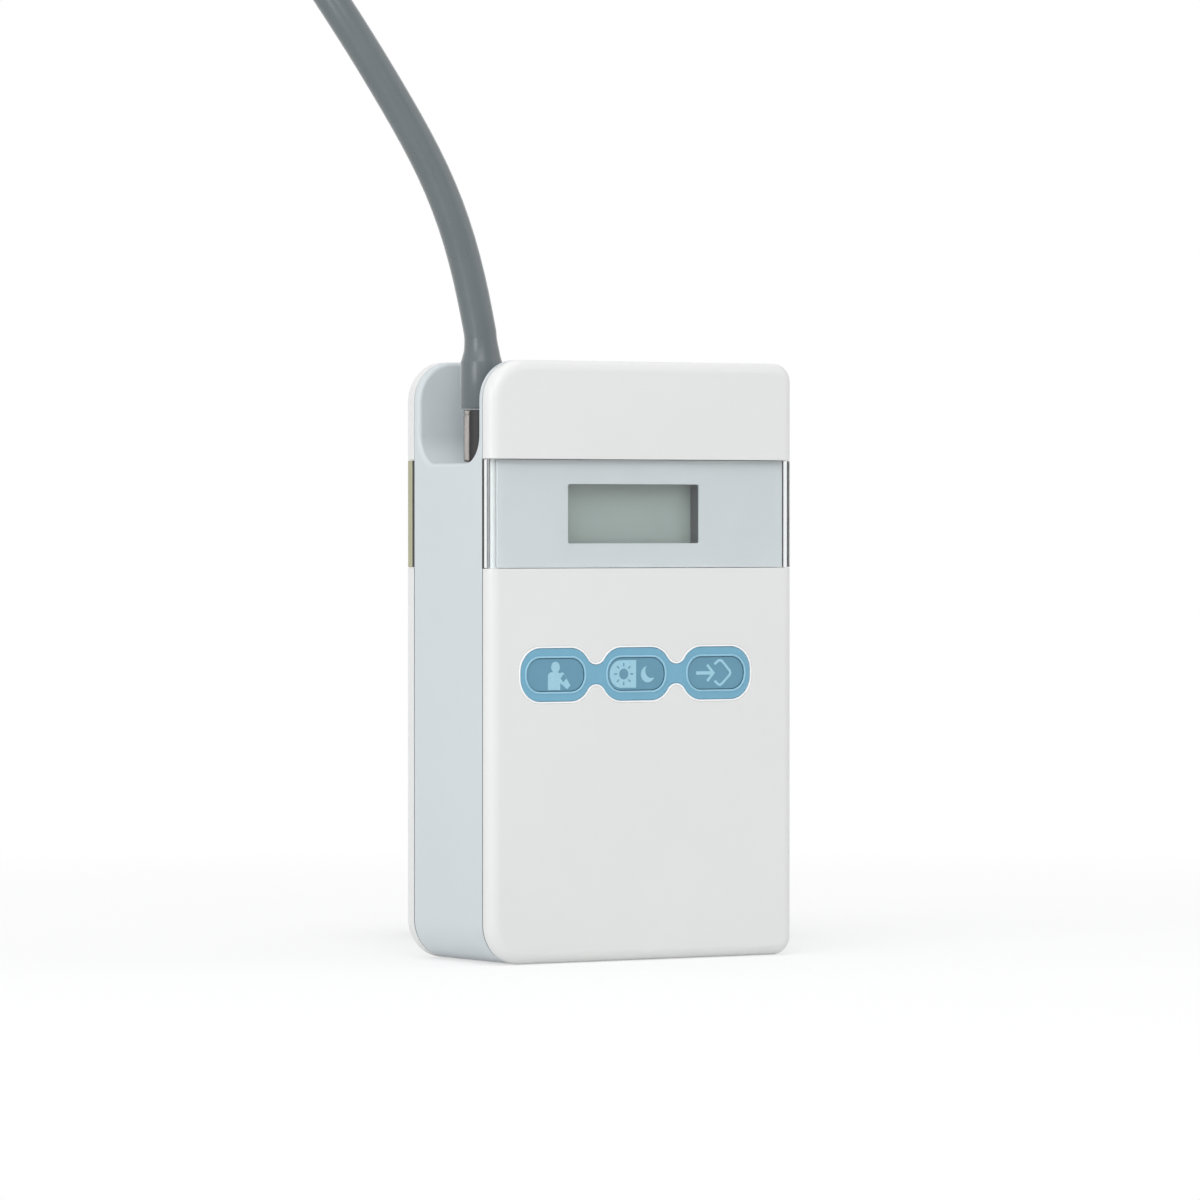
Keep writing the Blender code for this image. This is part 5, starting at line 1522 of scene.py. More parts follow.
@dataclass
class Windows:
    """The clear windows that wrap round the front and the back, and the seals at their ends."""

    levels: Levels
    fit: float = 0.00012
    seal_width: float = 0.0006
    seal_depth: float = 0.0013
    seal_fit: float = 0.00003
    seal_inset: float = 0.00004

    def build(self) -> None:
        """Builds and dresses both windows, each with the dark seals that close the joint at its two ends."""
        at = self.levels
        low, high, thick = at.window_low + self.fit, at.window_high - self.fit, at.window_thickness
        for name, face, joint, slot in (
            ("front_window", at.front, at.front_joint, Slot.WINDOW),
            ("rear_window", at.rear, at.rear_joint, Slot.REAR_WINDOW),
        ):
            way = math.copysign(1, face)
            end = joint + way * self.seal_width
            form = through(at_z, at.wrap(face, end, thick, thick, 0), low, high)
            show(f"{name}_moulding", softened(form, 0.0001), slot, [name])
            start, stop = sorted((end - way * self.seal_fit, joint - way * (at.gap - self.seal_fit)))
            strips = []
            for side in (-1, 1):
                ends = (side * (at.half_width - self.seal_depth), side * (at.half_width - self.seal_inset))
                strips.append(block((min(ends), start, low), (max(ends), stop, high)))
            show(f"{name}_seal", softened(together(strips), self.seal_inset), Slot.SEAL)


@dataclass
class Display:
    """The grey panel behind the front window, and the display's frame, glass and contact strips."""

    levels: Levels
    frame_half: Flat = (0.0195, 0.0085)
    frame_levels: Flat = (-0.0129, -0.0093)
    glass_half: Flat = (0.0181, 0.0073)
    glass_levels: Flat = (-0.0122, -0.0104)
    opening_radius: float = 0.0004
    panel_radius: float = 0.0003

    def build(self) -> None:
        """Builds and dresses the display."""
        at = self.levels
        (front, rear), (start, end) = at.panel_levels, self.frame_levels
        half, margin = at.half_width - at.edge_radius, at.gap / 2
        opening = rounded(*at.sides(at.display_half), (self.opening_radius, self.opening_radius), 4)
        radii = (self.panel_radius, self.panel_radius)
        panel = rounded(-half, half, at.window_low + margin, at.window_high - margin, radii, 3)
        cutter = through(at_y, opening, front - at.past, rear + at.past)
        mesh = carved(through(at_y, panel, front, rear), (Cut.TAKE, cutter))
        show("display_panel_sheet", softened(mesh, 0.00008), Slot.PANEL, ["display_panel"])
        mesh = carved(
            at.plate(self.frame_half, start, end),
            (Cut.ADD, at.plate(at.display_half, at.front_recess, start + at.gap, at.display_collar)),
            (Cut.TAKE, through(at_y, opening, at.front_recess - at.past, end + at.past)),
            (Cut.TAKE, at.plate(self.glass_half, self.glass_levels[0] - at.gap, 0, at.gap)),
        )
        show("display_frame_moulding", softened(mesh, 0.00012), Slot.DARK, ["display_frame"])
        glass = at.plate(self.glass_half, *self.glass_levels)
        show("display_plate", softened(glass, 0.0001), Slot.DISPLAY, ["display_glass"])
        for name in ("upper", "lower"):
            refine(f"display_contact_{name}", Slot.CONTACT_RUBBER)


class Icon(Enum):
    """The generic picture on each key."""

    WEARER = "start"
    DAY_AND_NIGHT = "day_night"
    EVENT = "event"


@dataclass
class Keypad:
    """The blue keypad, its three keys and the pictures printed on them."""

    levels: Levels
    plan: KeypadPlan
    rear: float = -0.0144
    seat: float = -0.0152
    flange: float = 0.0013
    proud: float = 0.00012
    edge: float = 0.00035
    rim_width: float = 0.00045
    rim_root: float = 0.0004
    bead_proud: float = 0.00006
    bead_edges: Flat = (0.00008, 0.00012)
    key_face: float = -0.0173
    key_edge: float = 0.0002
    key_flange_levels: Flat = (-0.0141, -0.0135)
    key_flange: float = 0.0008
    stem_radius: float = 0.002
    stem_end: float = -0.0126
    stem_root: float = 0.0003
    print_height: float = 0.00004
    print_root: float = 0.00006
    ink: Colour = (158, 205, 224)
    # Painted highlight: the rims' paler blue stands for light caught on their raised edges.
    highlight_rim_colour: Colour = (146, 196, 218)
    # Painted highlight: the bead's near white stands for the pale halo of light round the keypad's edge.
    highlight_bead_colour: Colour = (250, 252, 253)

    def build(self) -> None:
        """Builds and dresses the keypad."""
        self.membrane()
        self.rims()
        for icon, x in zip(Icon, self.plan.places):
            self.key(icon, x)
            name, body = f"key_picture_{icon.value}", f"key_{icon.value}"
            show(name, self.picture(icon, x), Slot.KEY, body=body, finish=PrintedInk(self.ink))
            refine(f"key_switch_{icon.value}", Slot.BLACK)

    def membrane(self) -> None:
        """The membrane with its flange and its soft edge."""
        at, plan, edge = self.levels, self.plan, self.edge
        turn = at.front + self.proud + edge
        rings = [(0.0, self.rear), (0.0, turn)]
        rings += [(-inset, turn - out) for inset, out in arc((edge, 0), edge, 180, 90, 7)][1:]
        start, end = at.front - at.past, self.rear + at.past
        holes = [through(at_y, plan.key(x, plan.fit), start, end) for x in plan.places]
        mesh = carved(
            skin(plan.outline, rings),
            (Cut.ADD, through(at_y, plan.outline(self.flange), self.seat, self.rear)),
            (Cut.TAKE, together(holes)),
        )
        show("keypad_membrane_moulding", softened(mesh, 0.00006), Slot.KEYPAD, ["keypad_membrane"])

    def rims(self) -> None:
        """The rim round each key, its paler blue a painted highlight, and the bead that fits the keypad in the
        shell, its near white a painted highlight.
        """
        plan, half, top = self.plan, self.rim_width / 2, self.levels.front + self.proud
        inner, root = plan.fit, top + self.rim_root
        profile = [(inner, root)]
        profile += [(inner + half + across, top - up) for across, up in arc((0, 0), half, 180, 0, 8)]
        profile.append((inner + self.rim_width, root))
        rims = [skin(lambda grow, x=x: plan.key(x, grow), profile, closed=True) for x in plan.places]
        # The rims' paler blue is a painted highlight.
        show("keypad_rims", softened(together(rims), 0), Slot.KEYPAD, finish=SoftRubber(self.highlight_rim_colour, 0.4))
        inner, outer, (inside, outside) = 0.00001, plan.bead, self.bead_edges
        root, face = self.seat - 0.0001, self.levels.front - self.bead_proud
        profile = [(inner, root), (inner, face + inside), (inner + inside, face)]
        profile += [(outer - outside, face), (outer, face + outside), (outer, root)]
        bead = skin(plan.outline, profile, closed=True)
        # The bead's near white is a painted highlight round the keypad.
        show("keypad_bead", softened(bead, 0.00002), Slot.KEYPAD, finish=SoftRubber(self.highlight_bead_colour, 0.3))

    def key(self, icon: Icon, x: float) -> None:
        """One key: a cap with a soft edge, its flange, and the stem that presses the switch.

        Args:
            icon: Which key it is.
            x: The x of its middle.
        """
        start, end = self.key_flange_levels
        edge, turn = self.key_edge, self.key_face + self.key_edge
        rings = [(self.key_flange, end), (self.key_flange, start), (0, start), (0, turn)]
        rings += [(-inset, turn - out) for inset, out in arc((edge, 0), edge, 180, 90, 5)][1:]
        foot = (x, start + self.stem_root, self.plan.centre_z)
        stem = rod(self.stem_radius, self.stem_end - start - self.stem_root, foot, Y)
        mesh = carved(skin(lambda grow: self.plan.key(x, grow), rings), (Cut.ADD, stem))
        node = f"key_{icon.value}"
        show(f"{node}_cap", softened(mesh, 0.0001), Slot.KEY, [node], body=node)

    def picture(self, icon: Icon, x: float, deep: float = 0.001) -> Mesh:
        """The picture on a key, as a thin printed layer on its face.

        Args:
            icon: Which picture.
            x: The x of the key's middle.
            deep: How much further a form to take away runs each way.

        Returns:
            The finished mesh.
        """
        top, root = self.key_face - self.print_height, self.key_face + self.print_root

        def layer(outline: Sequence[Flat], more: float = 0.0) -> Form:
            """A thin plate of this outline in millimetres from the key's middle."""
            spots = [(x + across / 1000, self.plan.centre_z + up / 1000) for across, up in outline]
            return through(at_y, spots, top - more, root + more)

        match icon:
            case Icon.WEARER:
                body = arc((-0.95, -0.35), 0.95, 180, 90, 8) + arc((0.3, -0.3), 0.9, 90, 0, 8)
                body += [(1.2, -3.2), (-1.9, -3.2)]
                sleeve = [(1.0, 0.35), (1.9, 0.55), (3.75, -2.3), (2.9, -3.05), (1.35, -1.9), (0.9, -0.9)]
                cuff = [(2.0, 0.15), (2.75, -0.75), (1.95, -1.6), (1.25, -0.75)]
                base = layer(oval((0, 1.62), 1.08, 1.18, steps=40))
                steps = [(Cut.ADD, layer(body)), (Cut.ADD, layer(sleeve)), (Cut.TAKE, layer(cuff, deep))]
            case Icon.DAY_AND_NIGHT:
                middle = (-3.15, 0)
                sun = [layer(oval(middle, 1.15, 1.15, steps=40), deep)]
                for turn in range(8):
                    way = Vector((math.cos(math.pi * turn / 4), math.sin(math.pi * turn / 4)))
                    ray = [tuple(Vector(middle) + way * reach) for reach in (1.65, 2.4)]
                    sun.append(layer(stroke(ray, 0.32), deep))
                shadow = layer(oval((3.85, 0.62), 1.55, 1.55, steps=56), deep)
                moon = carved(layer(oval((2.95, -0.1), 1.75, 1.75, steps=56)), (Cut.TAKE, shadow))
                base = layer(rounded(-6.7, 0, -2.95, 2.95, (2.85, 0.05), 14))
                steps = [(Cut.TAKE, together(sun)), (Cut.ADD, as_form(moon))]
            case Icon.EVENT:
                diamond = [(-0.35, 1.85), (0.7, 2.65), (1.2, 2.72), (1.7, 2.45), (3.6, 0.45), (3.78, 0.0)]
                diamond += [(3.6, -0.45), (1.65, -2.3), (1.15, -2.6), (0.65, -2.5), (-0.3, -1.7)]
                base = layer(stroke([(-5.0, 0), (-0.75, 0)], 0.75))
                arrow = layer(stroke([(-2.2, 1.75), (-0.6, 0), (-2.2, -1.75)], 0.62))
                steps = [(Cut.ADD, arrow), (Cut.ADD, layer(stroke(diamond, 0.55)))]
        return softened(carved(base, *steps), 0)


@dataclass
class BatteryDoor:
    """The sliding battery door: tongues along its sides, a catch above and grooves for a thumb."""

    levels: Levels
    groove_count: int = 5
    groove_pitch: float = 0.0022
    groove_width: float = 0.001
    groove_depth_share: float = 1.4
    groove_half: float = 0.0085
    grip_margin: float = 0.006

    def build(self) -> None:
        """Builds and dresses the door."""
        at = self.levels
        radius, past, reach = at.rear_edge_radius, at.past, at.door_half + at.door_tongue[0] + at.past
        edge_y = at.rear - radius
        corner = arc((edge_y, radius), radius, 270, 360, 12)
        corner += [(at.rear + past, radius), (at.rear + past, -past), (edge_y, -past)]
        top, foot = at.door_height - at.door_corner, at.door_height - 2 * at.door_corner
        tongues, catch = at.door_rails(0, 0, top, foot)
        mesh = carved(
            through(at_y, at.door_outline(0, 0), at.door_inner, at.rear),
            (Cut.ADD, tongues),
            (Cut.ADD, catch),
            (Cut.TAKE, through(at_x, corner, -reach, reach)),
            (Cut.TAKE, self.grooves()),
        )
        show("battery_door_moulding", softened(mesh, 0.0002), Slot.SHELL, ["battery_door"], body="battery_door")

    def grooves(self) -> Form:
        """The thumb grooves, as a form to take away: one Geometry Nodes tree sets them out in a lens."""
        recipe = Recipe("door_grooves")
        count, pitch = recipe.size("Count", self.groove_count), recipe.size("Pitch", self.groove_pitch)
        half, width = recipe.size("Half Length", self.groove_half), recipe.size("Width", self.groove_width)
        step = recipe.add("ShaderNodeCombineXYZ", {"Z": recipe.math("MULTIPLY", pitch, -1.0)}).outputs[0]
        line = recipe.add("GeometryNodeMeshLine", {"Count": count, "Offset": step})
        number = recipe.add("GeometryNodeInputIndex").outputs[0]
        middle = recipe.math("MULTIPLY", recipe.math("SUBTRACT", count, 1.0), 0.5)
        off = recipe.math("ABSOLUTE", recipe.math("SUBTRACT", number, middle))
        reach = recipe.math("SUBTRACT", half, recipe.math("MULTIPLY", off, recipe.math("MULTIPLY", pitch, 0.5)))
        radius, length = recipe.math("MULTIPLY", width, 0.5), recipe.math("MULTIPLY", reach, 2.0)
        bar = recipe.add("GeometryNodeMeshCylinder", {"Vertices": 32, "Radius": radius, "Depth": 1.0})
        values = {"Geometry": bar.outputs["Mesh"], "Rotation": (0, math.pi / 2, 0)}
        bar = recipe.add("GeometryNodeTransform", values)
        values = {"X": length, "Y": self.groove_depth_share, "Z": 1.0}
        size = recipe.add("ShaderNodeCombineXYZ", values).outputs[0]
        values = {"Points": line.outputs[0], "Instance": bar.outputs[0], "Scale": size}
        bars = recipe.add("GeometryNodeInstanceOnPoints", values).outputs[0]
        top = (0, self.levels.rear, self.levels.door_height - self.grip_margin)
        moved = recipe.add("GeometryNodeTransform", {"Geometry": bars, "Translation": top})
        return as_form(recipe.run(moved.outputs[0], slot_material(Slot.SHELL), [(0, 0, 0)]))


@dataclass
class SideControls:
    """The on and off button and the data socket in the right wall."""

    levels: Levels
    button_root: float = 0.0029
    button_flange: Flat = (0.0008, 0.0006)
    button_edge: float = 0.0005
    bore: Flat = (0.0038, -0.01)
    cup_end: float = -0.0115
    nut: tuple[float, ...] = (0.0062, -0.0039, -0.0027)
    insert_levels: Flat = (0.0097, 0.0058)
    key_way: Spot = (0.001, 0.0005, 0.0009)
    pin_ring: float = 0.0021
    pin: Flat = (0.0004, 0.0014)
    pin_root: float = 0.0003

    def build(self) -> None:
        """Builds and dresses the button and the socket."""
        edge, (flange, thick) = self.button_edge, self.button_flange
        inside, turn = self.levels.half_width - self.button_root, self.levels.half_width - edge
        rings = [(flange, inside - thick), (flange, inside), (0, inside), (0, turn)]
        rings += [(-inset, turn + out) for inset, out in arc((edge, 0), edge, 180, 90, 6)][1:]
        form = skin(self.levels.button_oval, rings, at_x)
        show("on_off_button_cap", softened(form, 0.0001), Slot.KEY, ["on_off_button"], body="on_off_button")
        refine("on_off_switch", Slot.BLACK)
        self.data_socket()

    def data_socket(self) -> None:
        """The metal cup with its collar, the insert in it, and a ring of pins."""
        at = self.levels
        face, (y, z), body = at.half_width, at.data_middle, at.data_radius
        (bore, floor), (wide, low, high) = self.bore, self.nut
        cup = [(0, self.cup_end), (body, self.cup_end), (body, low), (wide, low), (wide, high)]
        cup += [(body, high), (body, 0), (bore, 0), (bore, floor), (0, floor)]
        metal, form = ToolMarkedMetal(NICKEL, 0.24, Lay.ROUND_X), turned(cup, (face, y, z), X, 80)
        show("data_socket_cup", softened(form, 0.0002), Slot.NICKEL, ["data_socket"], finish=metal)
        radius, (back, deep) = bore - at.gap, (face - level for level in self.insert_levels)
        long, half, down = self.key_way
        groove = block((deep - long, y - half, z + radius - down), (deep + long, y + half, z + radius + long))
        mesh = carved(rod(radius, deep - back, (back, y, z), X, 72), (Cut.TAKE, groove))
        show("data_insert_moulding", softened(mesh, 0.00015), Slot.BLACK, ["data_insert"])
        thin, length = self.pin
        profile = [(0, -self.pin_root), (thin, -self.pin_root)]
        profile += [(a, length + b) for a, b in arc((0, 0), thin, 0, 90, 6)]
        profile[-1] = (0, profile[-1][1])
        spots = at_x(oval(at.data_middle, self.pin_ring, self.pin_ring, steps=5), deep)
        pins = repeated("data_pins", turned(profile, (0, 0, 0), X, 20), spots, Slot.NICKEL)
        show("data_pins", softened(pins, 0), Slot.NICKEL)


@dataclass
class HoseLine:
    """The hose from its plug in the scoop to its cuff connector, with the coil that it is put away in."""

    levels: Levels
    diameter: float = 0.007
    plug_levels: Flat = (0.1065, 0.1176)
    plug_radius: float = 0.0039
    plug_groove: float = 0.00015
    spigot: Flat = (0.0024, 0.1)
    # Painted reflection: the black latch in the plug's side stands for the dark that the plug's metal reflects
    # there.
    dark_reflection_half: float = 0.0026
    dark_reflection_back: float = -0.0027
    dark_reflection_turn: float = -32
    boot_low: float = 0.1179
    hose_start: float = 0.1285
    boot_radius: float = 0.0045
    boot_edge: float = 0.0003
    boot_flare: Flat = (0.0098, 0.0166)
    boot_power: float = 2.25
    coil_centre: Flat = (0.0415, 0.066)
    coil_radius: float = 0.0393
    coil_pitch: float = 0.0076
    coil_turns: float = 2.25
    climb_turns: float = 0.5
    coil_high: float = 0.0122
    points_per_turn: int = 72
    spacing: float = 0.004
    strap_angle: float = math.radians(135)
    strap: Flat = (0.008, 0.0007)
    strap_room: float = 0.0006
    strap_low: float = 0.0008
    strap_corner: float = 0.003
    grip: float = 0.0042
    route: tuple[Spot, ...] = (
        (-0.0312, 0.0007, 0.1400), (-0.0335, 0.0021, 0.1517), (-0.0368, 0.0042, 0.1635),
        (-0.0416, 0.0073, 0.1752), (-0.0474, 0.0109, 0.1869), (-0.0517, 0.0136, 0.1954),
        (-0.0563, 0.0165, 0.2038), (-0.0630, 0.0263, 0.2204), (-0.0608, 0.0432, 0.2317),
        (-0.0506, 0.0608, 0.2332), (-0.0363, 0.0723, 0.2245), (-0.0233, 0.0735, 0.2088),
        (-0.0185, 0.0704, 0.2000), (-0.0140, 0.0676, 0.1911), (-0.0080, 0.0638, 0.1789),
        (-0.0029, 0.0606, 0.1666), (0.0005, 0.0584, 0.1544), (0.0029, 0.0570, 0.1421),
        (0.0041, 0.0562, 0.1351), (0.0041, 0.0556, 0.1280), (0.0038, 0.0515, 0.1120),
        (0.0030, 0.0450, 0.0930), (0.0025, 0.0375, 0.0740), (0.0022, 0.0312, 0.0565),
        (0.0022, 0.0291, 0.0422), (0.0022, 0.0332, 0.0272), (0.0022, 0.0440, 0.0163),
    )

    def build(self) -> None:
        line = self.line()
        mesh = tube_mesh("hose", line, self.diameter / 2, 32, Slot.HOSE)
        hose = show("hose", mesh, Slot.HOSE, ["air_hose", "hose_coil"])
        pieces = [self.plug(), self.dark_reflection_latch(), self.boot(line), self.tie(), self.connector(line[-1])]
        [tuple(point) for point in line]
        log.info("hose line %.4f m", sum((b - a).length for a, b in zip(line, line[1:])))

    def line(self, lead: float = 0.0015) -> list[Vector]:
        """The middle line of the whole hose, the put-away coil with it.

        Args:
            lead: The length of the straight lead at each end of its free run.

        Returns:
            The points.
        """
        start, wound = (self.levels.socket_x, 0, self.hose_start), self.coil()
        end = wound[0] - Vector((0, self.levels.gap, 0))
        return smooth_line(start, self.route, end, (Z, Y), lead, self.spacing)[:-1] + wound

    def coil(self, lead: float = 0.007) -> list[Vector]:
        """The coil: in on the upper layer, down a layer where it turns back, and out below.

        Args:
            lead: The length of the straight run at each of its ends.

        Returns:
            The points.
        """
        points = []
        for step in range(round(self.coil_turns * self.points_per_turn) + 1):
            turn = step / self.points_per_turn
            angle = math.pi - 2 * math.pi * turn
            radius = self.turn_radius(turn)
            fall = (turn - (self.coil_turns - self.climb_turns) / 2) / self.climb_turns
            fall = (1 - math.cos(math.pi * min(max(fall, 0), 1))) / 2
            points.append(Vector((
                self.coil_centre[0] + radius * math.cos(angle),
                self.coil_centre[1] + radius * math.sin(angle),
                self.coil_high - self.coil_pitch * fall,
            )))
        return [points[0] - Vector((0, lead, 0)), *points, points[-1] + Vector((lead, 0, 0))]

    def turn_radius(self, turn: float) -> float:
        """The coil's radius after so many turns."""
        return self.coil_radius - self.coil_pitch * min(turn, self.coil_turns - turn)

    def plug(self) -> bpy.types.Object:
        """The metal plug: a spigot below, a fine groove near its top, and a pocket for the black latch, whose
        black is a painted reflection.
        """
        (thin, foot), radius, (low, high) = self.spigot, self.plug_radius, self.plug_levels
        neck, ring = radius - self.plug_groove, high - 0.0012
        profile = [(0, foot), (thin - 0.0003, foot), (thin, foot + 0.0003), (thin, low)]
        profile += [(radius - 0.0004, low), (radius, low + 0.0004)]
        profile += [(radius, ring), (neck, ring + 0.0001), (neck, ring + 0.0003), (radius, ring + 0.0004)]
        profile += [(radius, high - 0.0002), (radius - 0.0002, high), (0, high)]
        body = turned(profile, (self.levels.socket_x, 0, 0), Z, 96)
        mesh = carved(body, (Cut.TAKE, self.dark_reflection_form(0.0001, 0.003)))
        return show("plug_body", softened(mesh, 0.0001), Slot.NICKEL, ["hose_plug"])

    def dark_reflection_form(self, grow: float, past: float) -> Form:
        """The latch's block, which faces the way that the scoop opens; its black is a painted reflection on the
        plug's side.

        Args:
            grow: How much wider it is each way.
            past: How far it runs out past the plug.

        Returns:
            The block.
        """
        half, (low, high), margin = self.dark_reflection_half + grow, self.plug_levels, 0.0001
        form = block(
            (-half, -self.plug_radius - past, low + margin - grow),
            (half, self.dark_reflection_back - grow, high - margin + grow),
        )
        turn = Matrix.Rotation(math.radians(self.dark_reflection_turn), 4, "Z")
        spot = Matrix.Translation((self.levels.socket_x, 0, 0)) @ turn
        bmesh.ops.transform(form, matrix=spot, verts=form.verts)
        return form

    def dark_reflection_latch(self, inset: float = 0.0001, length: float = 0.02) -> bpy.types.Object:
        """The black latch in the plug's side, rounded with the plug: its black is a painted reflection of the
        dark that the plug's metal reflects there.

        Args:
            inset: How far its face lies inside the plug's.
            length: How long the round bar is that it is cut by.

        Returns:
            The piece.
        """
        foot = (self.levels.socket_x, 0, self.plug_levels[0] - 0.001)
        keep = rod(self.plug_radius - inset, length, foot, Z, 96)
        mesh = carved(self.dark_reflection_form(0, 0.001), (Cut.KEEP, keep))
        return show("plug_latch", softened(mesh, 0.0001), Slot.BLACK)

    def boot(self, line: Sequence[Vector], steps: int = 16, sunk: float = 0.00005) -> bpy.types.Object:
        """The boot: it grips the plug's upper end and flares in to the hose just above the case.

        Args:
            line: The hose's middle line.
            steps: How many rings its flare has.
            sunk: How far its end lies inside the hose's surface.

        Returns:
            The piece.
        """
        path = np.array([(self.levels.socket_x, 0, self.boot_low), *line[:5]])
        edge, full, slim = self.boot_edge, self.boot_radius, self.diameter / 2 - sunk
        marks = [0, edge / 3, edge, *np.linspace(*self.boot_flare, steps)]
        radii = [full - edge, full - edge / 3, full]
        radii += [slim + (full - slim) * (1 - step / (steps - 1)) ** self.boot_power for step in range(steps)]
        shares = [radius / full for radius in radii]
        mesh = tube_mesh("hose_boot", sampled(path, marks), full, 64, Slot.HOSE, shares)
        return show("hose_boot_moulding", mesh, Slot.HOSE, ["hose_boot"])

    def tie(self) -> bpy.types.Object:
        """The woven strap round the bundle of turns, with a UV map along and across it."""
        angle, (width, thick) = self.strap_angle, self.strap
        first = (math.pi - angle) / (2 * math.pi)
        radii = [self.turn_radius(first + whole) for whole in range(math.ceil(self.coil_turns - first))]
        reach = self.diameter / 2 + self.strap_room
        inner, outer, high = min(radii) - reach, max(radii) + reach, self.coil_high + reach
        rings = []
        for grow, side in ((0, -1), (thick, -1), (thick, 1), (0, 1)):
            corner, low = self.strap_corner + grow, self.strap_low - grow
            section = rounded(inner - grow, outer + grow, low, high + grow, (corner, corner), 10)
            rings.append(at_y(section, side * width / 2))
        form = loft(rings, closed=True)
        layer = form.loops.layers.uv.new("UVMap")
        middle = Vector(((inner + outer) / 2, 0, self.coil_high / 2))
        for face in form.faces:
            turns = [math.atan2(*(loop.vert.co - middle).zx) for loop in face.loops]
            if max(turns) - min(turns) > math.pi:
                turns = [turn + 2 * math.pi if turn < 0 else turn for turn in turns]
            for loop, turn in zip(face.loops, turns):
                loop[layer].uv = (turn * 0.012, loop.vert.co.y)
        spot = Matrix.Translation((*self.coil_centre, 0)) @ Matrix.Rotation(angle, 4, "Z")
        bmesh.ops.transform(form, matrix=spot, verts=form.verts)
        return show("coil_strap", softened(form, 0.00015), Slot.STRAP, ["coil_tie"])

    def connector(self, start: Vector) -> bpy.types.Object:
        """The cuff side connector: a ribbed grip, a neck and a barbed tip with a bore."""
        grip, low, edge, end, neck, bore = self.grip, 0.0003, 0.0006, 0.0107, 0.0032, 0.0016
        profile = [(0, low), (grip - edge, low), (grip, low + edge)]
        for step in range(4):
            along, deep = low + 0.0022 + step * 0.0019, grip - 0.00035
            profile += [(grip, along), (deep, along + 0.0003), (deep, along + 0.0007), (grip, along + 0.001)]
        profile += [(grip, end), (grip - edge, end + edge), (neck, end + edge), (neck, 0.0138)]
        barb = 0.0085 / 3
        for step in range(3):
            along = 0.0138 + barb * step
            profile += [(0.0031, along), (0.0027, along + barb)]
        profile += [(bore, 0.0223), (bore, 0.0163), (0, 0.0163)]
        form = turned(profile, tuple(start), X)
        return show("cuff_connector_moulding", softened(form, 0.0001), Slot.GREY, ["cuff_connector"])


